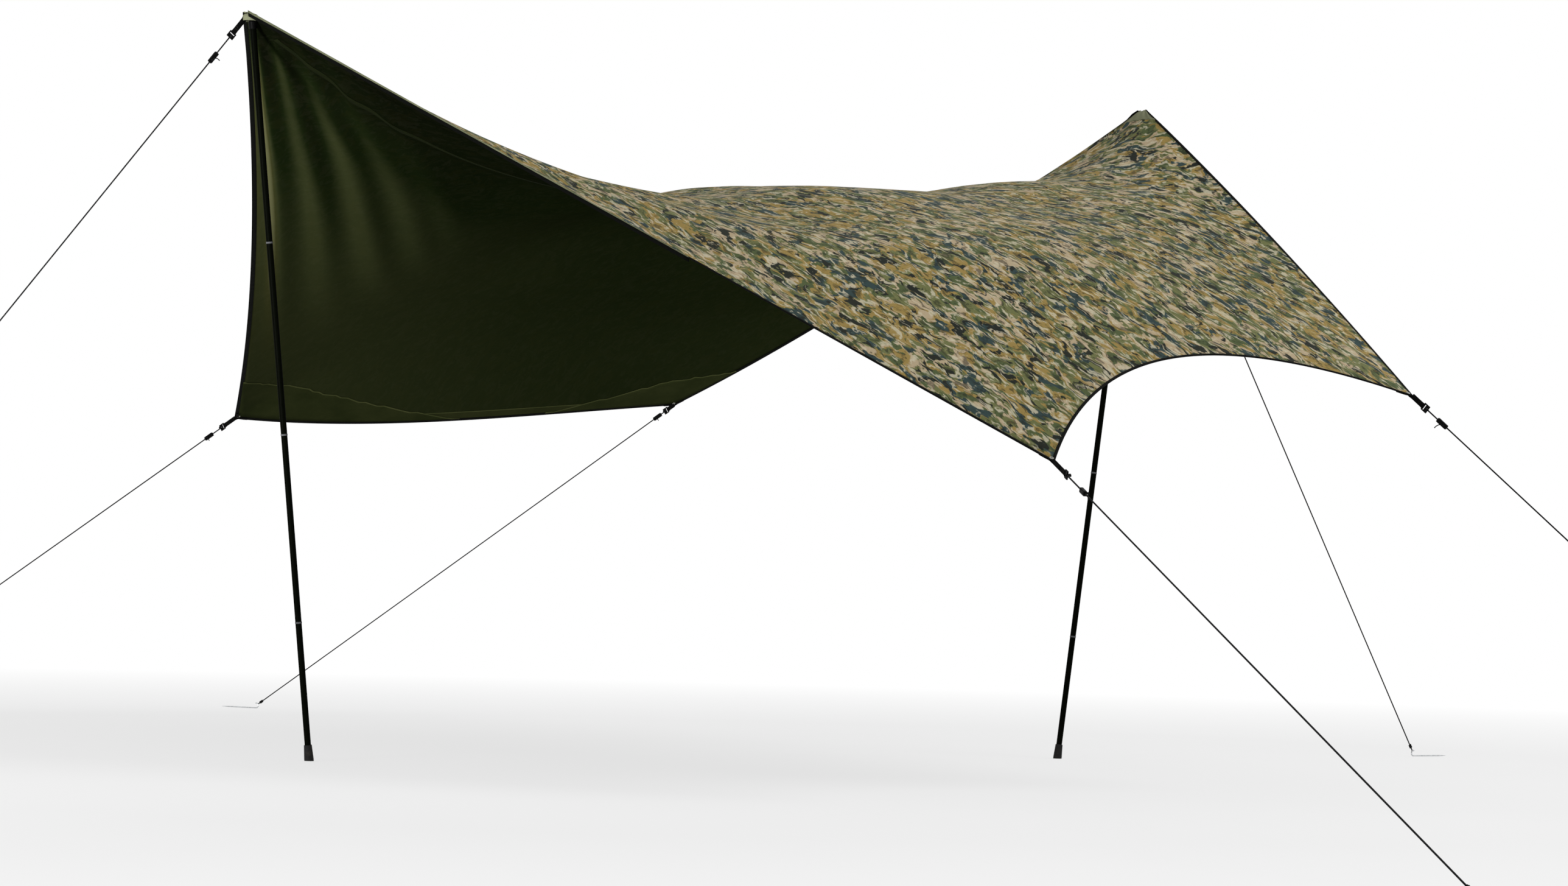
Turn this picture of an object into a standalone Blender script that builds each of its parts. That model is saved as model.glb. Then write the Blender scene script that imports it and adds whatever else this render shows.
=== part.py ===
"""Six-cornered camping tarp pitched on two sectional poles and six guylines.

Units are metres, +Z is up.  +X runs along the ridge from the left peak to the
right peak, -Y is the front side.  The ground is z = 0.
"""
import math

import bmesh
import bpy
import numpy as np
from mathutils import Matrix, Vector

# Corner points of the pitched canopy
PEAK_LEFT = (-1.620, 0.110, 2.097)
PEAK_RIGHT = (1.614, 0.110, 2.101)
REAR_LEFT = (-0.507, 2.324, 1.042)
REAR_RIGHT = (1.215, 2.260, 1.166)
FRONT_LEFT = (-0.576, -2.270, 0.853)
FRONT_RIGHT = (0.859, -1.991, 1.088)
MIDDLE = (0.0, 0.110, 0.0)

# Where the poles stand and the guylines are pegged
FOOT_LEFT = (-1.333, 0.128, 0.0)
FOOT_RIGHT = (1.345, 0.137, 0.0)
PEG_POINTS = {
    "peak_left": (-3.223, 0.156),
    "peak_right": (2.941, 0.204),
    "rear_left": (-1.288, 3.895),
    "rear_right": (0.385, 3.863),
    "front_left": (-1.465, -4.684),
    "front_right": (1.311, -3.207),
}

# Hem curvature: bow towards the middle, rise, and where the bow is deepest
HEM_REAR_LEFT = (0.045, -0.040, 0.0)
HEM_REAR = (-0.030, -0.030, -0.6)
HEM_REAR_RIGHT = (-0.080, -0.020, -0.3)
HEM_FRONT_LEFT = (0.000, 0.000, 0.0)
HEM_FRONT = (0.262, 0.185, 0.0)
HEM_FRONT_RIGHT = (-0.010, 0.010, 0.0)

# Cloth
CLOTH = 0.0015
SEAM_GAP = 0.0008
PEAK_CUT = 0.020
PEAK_CREST = 0.28
RIBS = 30
RIB_LEFT_CORNER = 12
RIB_RIGHT_CORNER = 19
PANEL_STRIPS = 16
LONG_PULL = 1.2
TAPER_POWER = 2.0
WIND_LOAD = 0.47
RELAX_ROUNDS = 12
FOLDS_LEFT = 5
FOLD_HEIGHT_LEFT = 0.008
FOLD_REACH_LEFT = 0.33
FOLDS_RIGHT = 4
FOLD_HEIGHT_RIGHT = 0.006
FOLD_REACH_RIGHT = 0.25

# How the ridge lies: how far it rises or sags, where along it, and how far that reaches
RIDGE_RISE_LEFT = 0.068
RIDGE_RISE_LEFT_REACH = 0.083
RIDGE_RISE_RIGHT = 0.060
RIDGE_RISE_RIGHT_REACH = 0.080
RIDGE_SAG = 0.058
RIDGE_SAG_AT = 0.287
RIDGE_SAG_REACH = 0.105
RIDGE_SWELL = 0.045
RIDGE_SWELL_AT = 0.812
RIDGE_SWELL_REACH = 0.060

# Trim on the cloth
TRIM_GAP = 0.0004
BINDING_RADIUS = 0.003
BINDING_SHORT = 0.018
BINDING_SHORT_AT_PEAK = 0.002
PEAK_EASE = 0.0006
PATCH = 0.0010
PATCH_BACK = 1
PATCH_AHEAD = 3
PEAK_ROWS = (0.10, 0.28)
CAP_OPEN_STRIPS = 2
TAPE_WIDTH = 0.030
TAPE = 0.0008
TAPE_GAP = 0.0008

# Corner hardware, measured along each guyline from its corner
STRAP_WIDTH = 0.015
STRAP = 0.0018
STRAP_CLEAR = 0.0010
STRAP_GAPS = {
    "peak_left": 0.0011,
    "peak_right": 0.0010,
    "rear_left": 0.0005,
    "rear_right": 0.0004,
    "front_left": 0.0006,
    "front_right": 0.0006,
}
STRAP_LENGTHS = {
    "peak_left": 0.072,
    "peak_right": 0.072,
    "rear_left": 0.050,
    "rear_right": 0.030,
    "front_left": 0.100,
    "front_right": 0.042,
}
BUCKLE_LENGTH = 0.020
BUCKLE_WIDTH = 0.022
BUCKLE_HEIGHT = 0.004
BUCKLE_SLOT = (0.0050, 0.0160)
BUCKLE_EYE = 0.0030
TENSIONER_AT = {
    "peak_left": 0.168,
    "peak_right": 0.168,
    "rear_left": 0.125,
    "rear_right": 0.082,
    "front_left": 0.250,
    "front_right": 0.118,
}
TENSIONER_LENGTH = 0.036
TENSIONER_WIDTH = 0.013
TENSIONER_HEIGHT = 0.010
TENSIONER_BORE = 0.0024
TENSIONER_TAIL_HOLE = 0.0021
CORD_RADIUS = 0.0020
CORD_POINTS = 9
FIT_GAP = 0.0003

# Pegs
PEG_WIRE = 0.00225
PEG_HOOK = 0.0090
PEG_LENGTH = 0.170
PEG_HOOK_TURN = math.radians(200)

# Poles, measured along the pole from the ground
POLE_RADIUS = 0.0090
POLE_WALL = 0.0012
POLE_JOINTS = (0.395, 0.925, 1.465)
SLEEVE_LENGTH = 0.070
SLEEVE_GAP = 0.0003
FOOT_RADIUS = 0.0135
FOOT_TOP_RADIUS = 0.0112
FOOT_HEIGHT = 0.045
FOOT_SEAT = 0.010
CUP_RADIUS = 0.0120
CUP_WALL = 0.0026
CUP_DEPTH = 0.028
CUP_CROWN = 0.0030
CUP_DROPS = {"left": 0.0042, "right": 0.0140}
TIP_STEM = 0.022
POLE_IN_FROM_PEAK = 0.034
ROUND_STEPS = 20

COLLECTION = "camping_tarp"
CUTTERS = "camping_tarp_cutters"


def clear_scene():
    for obj in list(bpy.data.objects):
        bpy.data.objects.remove(obj, do_unlink=True)
    for name in (COLLECTION, CUTTERS):
        if name in bpy.data.collections:
            bpy.data.collections.remove(bpy.data.collections[name])


def collection(name):
    made = bpy.data.collections.new(name)
    bpy.context.scene.collection.children.link(made)
    return made


def material(name, colour, roughness, metallic=0.0):
    made = bpy.data.materials.new(name)
    made.use_nodes = True
    shader = made.node_tree.nodes["Principled BSDF"]
    shader.inputs["Base Color"].default_value = (*colour, 1.0)
    shader.inputs["Roughness"].default_value = roughness
    shader.inputs["Metallic"].default_value = metallic
    made.diffuse_color = (*colour, 1.0)
    return made


def add_object(name, data, skin, group):
    obj = bpy.data.objects.new(name, data)
    group.objects.link(obj)
    if skin is not None and not data.materials:
        data.materials.append(skin)
    return obj


def as_cutter(obj):
    obj.hide_render = True
    obj.display_type = "WIRE"
    return obj


def unit(v):
    v = np.asarray(v, float)
    return v / np.linalg.norm(v)


def hem(start, end, cells, bow):
    """Points along a hem that bows inwards and rises between two corners."""
    p0 = np.array(start)
    p1 = np.array(end)
    inward, rise, skew = bow
    t = np.linspace(0, 1, cells + 1)[:, None]
    toward = np.array(MIDDLE) - (p0 + p1) / 2
    toward[2] = 0.0
    toward = unit(toward)
    arch = 4 * t * (1 - t) * (1 + skew * (2 * t - 1))
    return (1 - t) * p0 + t * p1 + arch * (inward * toward + np.array([0, 0, rise]))


def peak_row(peak, rear_corner, front_corner, count):
    """The blunt cloth end at a peak, spread over the crest of the ridge."""
    top = np.array(peak)
    rear = unit(np.array(rear_corner) - top)
    front = unit(np.array(front_corner) - top)
    row = []
    for w in np.linspace(0, 1, count):
        way = (1 - w) * rear + w * front
        way = way + 4 * w * (1 - w) * np.array([0, 0, PEAK_CREST])
        row.append(top + PEAK_CUT * unit(way))
    return np.array(row)


def relaxed_net():
    """Cloth as a net in balance under its own pull and a light wind load."""
    left = RIB_LEFT_CORNER
    right = RIB_RIGHT_CORNER
    rear = np.vstack([
        hem(PEAK_LEFT, REAR_LEFT, left, HEM_REAR_LEFT)[:-1],
        hem(REAR_LEFT, REAR_RIGHT, right - left, HEM_REAR)[:-1],
        hem(REAR_RIGHT, PEAK_RIGHT, RIBS - right, HEM_REAR_RIGHT),
    ])
    front = np.vstack([
        hem(PEAK_LEFT, FRONT_LEFT, left, HEM_FRONT_LEFT)[:-1],
        hem(FRONT_LEFT, FRONT_RIGHT, right - left, HEM_FRONT)[:-1],
        hem(FRONT_RIGHT, PEAK_RIGHT, RIBS - right, HEM_FRONT_RIGHT),
    ])
    across = 2 * PANEL_STRIPS + 1
    w = np.linspace(0, 1, across)[None, :, None]
    net = rear[:, None, :] * (1 - w) + front[:, None, :] * w
    net[0] = peak_row(PEAK_LEFT, REAR_LEFT, FRONT_LEFT, across)
    net[-1] = peak_row(PEAK_RIGHT, REAR_RIGHT, FRONT_RIGHT, across)
    rib = np.linalg.norm(rear - front, axis=1)
    rib = np.maximum(rib / rib.max(), 0.01)

    rows = RIBS - 1
    cols = across - 2
    count = rows * cols
    pull = np.zeros((count, count))
    fixed = np.zeros((count, 3))
    for i in range(1, RIBS):
        for j in range(1, across - 1):
            a = (i - 1) * cols + j - 1
            ahead = LONG_PULL * ((rib[i] + rib[i + 1]) / 2) ** TAPER_POWER
            back = LONG_PULL * ((rib[i] + rib[i - 1]) / 2) ** TAPER_POWER
            side = 1.0 / rib[i] ** TAPER_POWER
            for di, dj, q in ((1, 0, ahead), (-1, 0, back), (0, 1, side), (0, -1, side)):
                pull[a, a] += q
                ni = i + di
                nj = j + dj
                if 1 <= ni < RIBS and 1 <= nj < across - 1:
                    pull[a, (ni - 1) * cols + nj - 1] -= q
                else:
                    fixed[a] += q * net[ni, nj]
    solver = np.linalg.inv(pull)
    load = np.zeros_like(fixed)
    for _ in range(RELAX_ROUNDS):
        net[1:-1, 1:-1] = (solver @ (fixed + load)).reshape(rows, cols, 3)
        along = net[2:, 1:-1] - net[:-2, 1:-1]
        over = net[1:-1, 2:] - net[1:-1, :-2]
        area = np.cross(over, along) / 4
        area *= np.sign(area[..., 2:3])
        load = WIND_LOAD * area.reshape(count, 3)
    return net


def net_normals(net):
    """Upward unit normals at every net point."""
    along = np.gradient(net, axis=0)
    over = np.gradient(net, axis=1)
    normal = np.cross(over, along)
    normal /= np.linalg.norm(normal, axis=2, keepdims=True)
    return normal * np.sign(normal[..., 2:3])


def ridge_lie(s, v):
    """Where the cloth hangs below or stands above the balanced net."""
    near_left = (s / RIDGE_RISE_LEFT_REACH) ** 2
    near_right = ((1 - s) / RIDGE_RISE_RIGHT_REACH) ** 2
    rise = RIDGE_RISE_LEFT * near_left * np.exp(1 - near_left)
    rise = rise + RIDGE_RISE_RIGHT * near_right * np.exp(1 - near_right)
    sag = RIDGE_SAG * np.exp(-((s - RIDGE_SAG_AT) / RIDGE_SAG_REACH) ** 2)
    swell = RIDGE_SWELL * np.exp(-((s - RIDGE_SWELL_AT) / RIDGE_SWELL_REACH) ** 2)
    return (rise + swell - sag) * np.sin(math.pi * v)


def add_folds(net):
    """Tension folds that fan out of the two peaks and die away inside."""
    normal = net_normals(net)
    s = np.linspace(0, 1, net.shape[0])[:, None]
    v = np.linspace(0, 1, net.shape[1])[None, :]
    left = (s / FOLD_REACH_LEFT) * np.exp(1 - s / FOLD_REACH_LEFT)
    right = ((1 - s) / FOLD_REACH_RIGHT) * np.exp(1 - (1 - s) / FOLD_REACH_RIGHT)
    rise = FOLD_HEIGHT_LEFT * left ** 2 * np.sin(2 * math.pi * FOLDS_LEFT * v)
    rise = rise + FOLD_HEIGHT_RIGHT * right ** 2 * np.sin(2 * math.pi * FOLDS_RIGHT * v)
    folded = net + rise[..., None] * normal
    folded[..., 2] += ridge_lie(s, v)
    for row, near, peak in ((0, 1, PEAK_LEFT), (-1, -2, PEAK_RIGHT)):
        way = folded[near] - np.array(peak)
        way /= np.linalg.norm(way, axis=1, keepdims=True)
        folded[row] = np.array(peak) + PEAK_CUT * way
    return folded


def grid_bmesh(points, keep=None):
    """A triangulated grid moved onto points, with only the facets keep(i, j) wants."""
    rows = points.shape[0] - 1
    cols = points.shape[1] - 1
    bm = bmesh.new()
    bmesh.ops.create_grid(bm, x_segments=rows, y_segments=cols, size=1.0)
    bmesh.ops.triangulate(bm, faces=bm.faces[:], quad_method="FIXED")
    drop = []
    for face in bm.faces:
        centre = face.calc_center_median()
        i = (centre.x + 1) / 2 * rows
        j = (centre.y + 1) / 2 * cols
        if keep is not None and not keep(i, j):
            drop.append(face)
    bmesh.ops.delete(bm, geom=drop, context="FACES")
    places = {}
    for vert in bm.verts:
        i = round((vert.co.x + 1) / 2 * rows)
        j = round((vert.co.y + 1) / 2 * cols)
        vert.co = Vector(points[i, j])
        places[vert] = (i, j)
    return bm, places


def grid_mesh(name, points, keep=None):
    bm, _ = grid_bmesh(points, keep)
    mesh = bpy.data.meshes.new(name)
    bm.to_mesh(mesh)
    bm.free()
    return mesh


def facet_normals(net):
    """Upward unit normals of the facets that meet at every net point."""
    bm, places = grid_bmesh(net)
    bm.normal_update()
    normal = np.zeros_like(net)
    for vert, place in places.items():
        normal[place] = vert.normal
    bm.free()
    return normal * np.sign(normal[..., 2:3])


def solidify(obj, thickness):
    shell = obj.modifiers.new("thickness", "SOLIDIFY")
    shell.thickness = thickness
    shell.offset = 0.0
    return obj


def turned(name, profile, skin, group, closed=False, steps=ROUND_STEPS):
    """A turned piece; the profile runs down its outer side at +X."""
    bm = bmesh.new()
    verts = [bm.verts.new((r, 0.0, z)) for r, z in profile]
    for a, b in zip(verts, verts[1:]):
        bm.edges.new((a, b))
    if closed:
        bm.edges.new((verts[-1], verts[0]))
    mesh = bpy.data.meshes.new(name)
    bm.to_mesh(mesh)
    bm.free()
    obj = add_object(name, mesh, skin, group)
    screw = obj.modifiers.new("turn", "SCREW")
    screw.axis = "Z"
    screw.angle = 2 * math.pi
    screw.steps = steps
    screw.render_steps = steps
    screw.use_merge_vertices = True
    screw.merge_threshold = 0.00001
    screw.use_smooth_shade = True
    return obj


def tube(name, points, radius, skin, group, ends=None):
    """A round tube along a polyline, with filled caps."""
    curve = bpy.data.curves.new(name, "CURVE")
    curve.dimensions = "3D"
    curve.bevel_depth = radius
    curve.bevel_resolution = 2
    curve.use_fill_caps = True
    spline = curve.splines.new("POLY")
    spline.points.add(len(points) - 1)
    for k, point in enumerate(points):
        spline.points[k].co = (*point, 1.0)
        if ends is not None:
            spline.points[k].radius = ends[k]
    return add_object(name, curve, skin, group)


def box(name, size, skin, group, bevel=0.0):
    bm = bmesh.new()
    bmesh.ops.create_cube(bm, size=1.0)
    bmesh.ops.scale(bm, vec=size, verts=bm.verts[:])
    mesh = bpy.data.meshes.new(name)
    bm.to_mesh(mesh)
    bm.free()
    obj = add_object(name, mesh, skin, group)
    if bevel > 0:
        round_off = obj.modifiers.new("rounded", "BEVEL")
        round_off.width = bevel
        round_off.segments = 2
    return obj


def cylinder(name, radius, length, axis, skin, group, sides=16):
    bm = bmesh.new()
    bmesh.ops.create_cone(bm, cap_ends=True, segments=sides, radius1=radius, radius2=radius, depth=length)
    turn = {"X": Matrix.Rotation(math.pi / 2, 4, "Y"), "Y": Matrix.Rotation(math.pi / 2, 4, "X")}
    if axis in turn:
        bmesh.ops.transform(bm, matrix=turn[axis], verts=bm.verts[:])
    mesh = bpy.data.meshes.new(name)
    bm.to_mesh(mesh)
    bm.free()
    return add_object(name, mesh, skin, group)


def cut(obj, cutter):
    carve = obj.modifiers.new("cut", "BOOLEAN")
    carve.operation = "DIFFERENCE"
    carve.object = cutter
    return carve


def baked_mesh(obj, name):
    """The evaluated mesh of an object, for pieces that share one shape."""
    bpy.context.view_layer.update()
    graph = bpy.context.evaluated_depsgraph_get()
    mesh = bpy.data.meshes.new_from_object(obj.evaluated_get(graph))
    mesh.name = name
    return mesh


def placed(obj, origin, x_axis, y_axis):
    """Set an object at origin with its local X and Y along two directions."""
    x = Vector(unit(x_axis))
    z = x.cross(Vector(unit(y_axis))).normalized()
    y = z.cross(x)
    frame = Matrix((x, y, z)).transposed().to_4x4()
    frame.translation = Vector(origin)
    obj.matrix_world = frame
    return obj


def along_pole(obj, foot, top):
    z = Vector(unit(np.array(top) - np.array(foot)))
    x = Vector((0.0, 1.0, 0.0)).cross(z).normalized()
    y = z.cross(x)
    frame = Matrix((x, y, z)).transposed().to_4x4()
    frame.translation = Vector(foot)
    obj.matrix_world = frame
    return obj


clear_scene()
PARTS = collection(COLLECTION)
TOOLS = collection(CUTTERS)

CAMO = material("camo_cloth", (0.20, 0.19, 0.12), 0.75)
PATCH_CLOTH = material("patch_cloth", (0.06, 0.065, 0.045), 0.80)
CAP_CLOTH = material("cap_cloth", (0.30, 0.31, 0.19), 0.80)
WEBBING = material("webbing", (0.02, 0.02, 0.02), 0.85)
PLASTIC = material("buckle_plastic", (0.03, 0.03, 0.032), 0.45)
CORD = material("cord", (0.05, 0.05, 0.052), 0.80)
STEEL = material("peg_steel", (0.55, 0.55, 0.56), 0.35, 1.0)
POLE_METAL = material("pole_metal", (0.035, 0.035, 0.04), 0.35, 0.6)
RUBBER = material("foot_rubber", (0.02, 0.02, 0.02), 0.90)



def with_peak_rows(net):
    """Closer rows at both peaks, where the caps lie on the cloth."""
    rows = [net[0]]
    rows += [(1 - share) * net[0] + share * net[1] for share in PEAK_ROWS]
    rows += list(net[1:-1])
    rows += [(1 - share) * net[-1] + share * net[-2] for share in reversed(PEAK_ROWS)]
    rows.append(net[-1])
    return np.array(rows)


# Canopy
NET = with_peak_rows(add_folds(relaxed_net()))
NORMALS = facet_normals(NET)
RIDGE = PANEL_STRIPS
PEAK_END = len(PEAK_ROWS)
LAST_RIB = RIBS + 2 * PEAK_END
LEFT_CORNER = RIB_LEFT_CORNER + PEAK_END
RIGHT_CORNER = RIB_RIGHT_CORNER + PEAK_END


def side_grid(side):
    """Net points of one panel, drawn back from the ridge seam."""
    if side == "rear":
        part = NET[:, :RIDGE + 1].copy()
        away = part[:, -2] - part[:, -1]
        away /= np.linalg.norm(away, axis=1, keepdims=True)
        part[:, -1] += away * SEAM_GAP / 2
    else:
        part = NET[:, RIDGE:].copy()
        away = part[:, 1] - part[:, 0]
        away /= np.linalg.norm(away, axis=1, keepdims=True)
        part[:, 0] += away * SEAM_GAP / 2
    return part


for side_name in ("rear", "front"):
    panel = add_object(
        side_name + "_panel",
        grid_mesh(side_name + "_panel", side_grid(side_name)),
        CAMO,
        PARTS,
    )
    solidify(panel, CLOTH)


def cap(name, first):
    """Cap over the blunt end of a peak, lying on the outer face."""
    rise = CLOTH / 2 + TRIM_GAP + PATCH / 2
    rows = slice(first, first + PEAK_END + 1)
    columns = slice(CAP_OPEN_STRIPS, -CAP_OPEN_STRIPS)
    grid = (NET + rise * NORMALS)[rows, columns]
    solidify(add_object(name, grid_mesh(name, grid), CAP_CLOTH, PARTS), PATCH)


cap("peak_cap_left", 0)
cap("peak_cap_right", LAST_RIB - PEAK_END)


def corner_patch(name, rib, side, towards_right):
    """Reinforcement on the underside, long along the short hem."""
    drop = CLOTH / 2 + TRIM_GAP + PATCH / 2
    part = NET - drop * NORMALS
    last = 2 * PANEL_STRIPS

    def keep(i, j):
        depth = j if side == "rear" else last - j
        inner = i - rib if towards_right else rib - i
        return depth < 1.0 and -PATCH_BACK < inner < PATCH_AHEAD

    solidify(add_object(name, grid_mesh(name, part, keep), PATCH_CLOTH, PARTS), PATCH)


corner_patch("patch_rear_left", LEFT_CORNER, "rear", True)
corner_patch("patch_rear_right", RIGHT_CORNER, "rear", False)
corner_patch("patch_front_left", LEFT_CORNER, "front", True)
corner_patch("patch_front_right", RIGHT_CORNER, "front", False)


def ridge_tape():
    """Seam tape under the ridge."""
    drop = CLOTH / 2 + TAPE_GAP + TAPE / 2
    rows = []
    for i in range(PEAK_END + 1, LAST_RIB - PEAK_END):
        centre = NET[i, RIDGE]
        low = centre - drop * NORMALS[i, RIDGE]
        rear = unit(NET[i, RIDGE - 1] - centre) * TAPE_WIDTH / 2
        front = unit(NET[i, RIDGE + 1] - centre) * TAPE_WIDTH / 2
        rows.append([low + rear, low, low + front])
    name = "ridge_tape"
    solidify(add_object(name, grid_mesh(name, np.array(rows)), PATCH_CLOTH, PARTS), TAPE)


ridge_tape()


def binding(name, edge, first, last):
    """Bound hem that runs just outside the cloth from corner to corner."""
    inner = 1 if edge == 0 else edge - 1
    rim = NET[first:last + 1, edge]
    inside = NET[first:last + 1, inner]
    count = len(rim)
    line = []
    for k in range(count):
        tangent = unit(rim[min(k + 1, count - 1)] - rim[max(k - 1, 0)])
        out = unit(np.cross(NORMALS[first + k, edge], tangent))
        out *= np.sign(out @ (rim[k] - inside[k]))
        ease = PEAK_EASE if first + k in (PEAK_END, LAST_RIB - PEAK_END) else 0.0
        line.append(rim[k] + out * (BINDING_RADIUS + TRIM_GAP + ease))
    line = np.array(line)
    for end, near, at_peak in ((0, 1, first == PEAK_END), (-1, -2, last == LAST_RIB - PEAK_END)):
        way = unit(line[near] - line[end])
        line[end] += way * (BINDING_SHORT_AT_PEAK if at_peak else BINDING_SHORT)
    tube(name, line, BINDING_RADIUS, WEBBING, PARTS)


LAST = 2 * PANEL_STRIPS
binding("binding_rear_left", 0, PEAK_END, LEFT_CORNER)
binding("binding_rear", 0, LEFT_CORNER, RIGHT_CORNER)
binding("binding_rear_right", 0, RIGHT_CORNER, LAST_RIB - PEAK_END)
binding("binding_front_left", LAST, PEAK_END, LEFT_CORNER)
binding("binding_front", LAST, LEFT_CORNER, RIGHT_CORNER)
binding("binding_front_right", LAST, RIGHT_CORNER, LAST_RIB - PEAK_END)

# Shapes shared by the six corners
frame_box = box("buckle_blank", (BUCKLE_LENGTH, BUCKLE_WIDTH, BUCKLE_HEIGHT), PLASTIC, TOOLS, 0.0012)
slot = box("buckle_slot", (BUCKLE_SLOT[0], BUCKLE_SLOT[1], 0.02), None, TOOLS)
slot.location = (-0.0045, 0.0, 0.0)
eye = cylinder("buckle_eye", BUCKLE_EYE, 0.02, "Z", None, TOOLS)
eye.location = (0.0050, 0.0, 0.0)
cut(frame_box, as_cutter(slot))
cut(frame_box, as_cutter(eye))
BUCKLE_SHAPE = baked_mesh(as_cutter(frame_box), "buckle_shape")

runner = box("tensioner_blank", (TENSIONER_LENGTH, TENSIONER_WIDTH, TENSIONER_HEIGHT), PLASTIC, TOOLS, 0.0025)
bore = cylinder("tensioner_bore", TENSIONER_BORE, 0.08, "X", None, TOOLS)
tail_hole = cylinder("tensioner_tail_hole", TENSIONER_TAIL_HOLE, 0.04, "Z", None, TOOLS, 12)
tail_hole.location = (0.0110, 0.0, 0.0)
cut(runner, as_cutter(bore))
cut(runner, as_cutter(tail_hole))
TENSIONER_SHAPE = baked_mesh(as_cutter(runner), "tensioner_shape")

PEG_RISE = PEG_WIRE + PEG_HOOK


def peg_points():
    """Shaft from the point to the bend, then the hook turning up and back."""
    shaft = np.linspace(PEG_LENGTH - PEG_HOOK, 0.0, 6)
    points = [(x, 0.0, -PEG_HOOK) for x in shaft]
    turns = np.linspace(0, PEG_HOOK_TURN, 11)[1:]
    for a in turns:
        points.append((-PEG_HOOK * math.sin(a), 0.0, -PEG_HOOK * math.cos(a)))
    sizes = [0.25] + [1.0] * (len(points) - 1)
    return points, sizes


CORNERS = {
    "peak_left": (tuple(NET[0, RIDGE]), (0, RIDGE)),
    "peak_right": (tuple(NET[LAST_RIB, RIDGE]), (LAST_RIB, RIDGE)),
    "rear_left": (REAR_LEFT, (LEFT_CORNER, 0)),
    "rear_right": (REAR_RIGHT, (RIGHT_CORNER, 0)),
    "front_left": (FRONT_LEFT, (LEFT_CORNER, LAST)),
    "front_right": (FRONT_RIGHT, (RIGHT_CORNER, LAST)),
}


def cloth_near(corner, place):
    """Cloth points within a few centimetres of a corner, on its hems or its ridge."""
    i, j = place
    if i in (0, LAST_RIB):
        found = list(NET[i])
        near = [NET[abs(i - 1), j], NET[abs(i - 2), j]]
    else:
        found = [np.array(corner)]
        near = [NET[i - 1, j], NET[i + 1, j]]
    for point in near:
        way = unit(point - np.array(corner))
        found += [np.array(corner) + way * d for d in np.linspace(0.0, 0.03, 61)]
    return found


def strap_start(corner_name, corner, place, way, wide):
    """How far along the guyline the strap has to begin to clear the cloth."""
    start = -0.05
    for point in cloth_near(corner, place):
        rel = point - np.array(corner)
        in_width = abs(rel @ wide) < STRAP_WIDTH / 2 + STRAP_CLEAR
        in_thickness = abs(rel @ np.cross(way, wide)) < STRAP / 2 + STRAP_CLEAR
        if in_width and in_thickness:
            start = max(start, rel @ way)
    return start + STRAP_GAPS[corner_name]


PEG_LINE, PEG_SIZES = peg_points()
for corner_name, (corner, place) in CORNERS.items():
    peg_xy = PEG_POINTS[corner_name]
    target = np.array([peg_xy[0], peg_xy[1], PEG_RISE])
    start = np.array(corner)
    way = unit(target - start)
    level = unit(np.array([way[0], way[1], 0.0]))
    side = unit(np.cross(way, (0.0, 0.0, 1.0)))
    wide = unit(np.cross(side, way))
    begin = strap_start(corner_name, corner, place, way, wide)
    strap_end = STRAP_LENGTHS[corner_name]

    strap = box("strap_" + corner_name, (strap_end - begin, STRAP_WIDTH, STRAP), WEBBING, PARTS)
    placed(strap, start + way * (begin + strap_end) / 2, way, wide)

    buckle = add_object("buckle_" + corner_name, BUCKLE_SHAPE, PLASTIC, PARTS)
    buckle_at = strap_end + FIT_GAP + BUCKLE_LENGTH / 2
    placed(buckle, start + way * buckle_at, way, wide)

    tensioner = add_object("tensioner_" + corner_name, TENSIONER_SHAPE, PLASTIC, PARTS)
    placed(tensioner, start + way * TENSIONER_AT[corner_name], way, wide)

    reach = np.linalg.norm(target - start)
    cord_start = buckle_at + BUCKLE_LENGTH / 2 + FIT_GAP
    cord_end = reach - PEG_HOOK - PEG_WIRE - FIT_GAP
    stations = np.linspace(cord_start, cord_end, CORD_POINTS)
    tube("guyline_" + corner_name, [start + way * d for d in stations], CORD_RADIUS, CORD, PARTS)

    peg = tube("peg_" + corner_name, PEG_LINE, PEG_WIRE, STEEL, PARTS, PEG_SIZES)
    placed(peg, target, level, np.array([-level[1], level[0], 0.0]))


# Poles
BORE = POLE_RADIUS - POLE_WALL
SLEEVE = BORE - SLEEVE_GAP
SLEEVE_BORE = SLEEVE - POLE_WALL


def section_profile(bottom, top, sleeve):
    """Tube from bottom to top; a sleeve reaches down into the next section."""
    outer = [(POLE_RADIUS, top), (POLE_RADIUS, bottom)]
    if not sleeve:
        return outer + [(BORE, bottom), (BORE, top)]
    low = bottom - SLEEVE_LENGTH
    return outer + [
        (SLEEVE, bottom),
        (SLEEVE, low),
        (SLEEVE_BORE, low),
        (SLEEVE_BORE, bottom + 0.003),
        (BORE, bottom + 0.005),
        (BORE, top),
    ]


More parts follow.
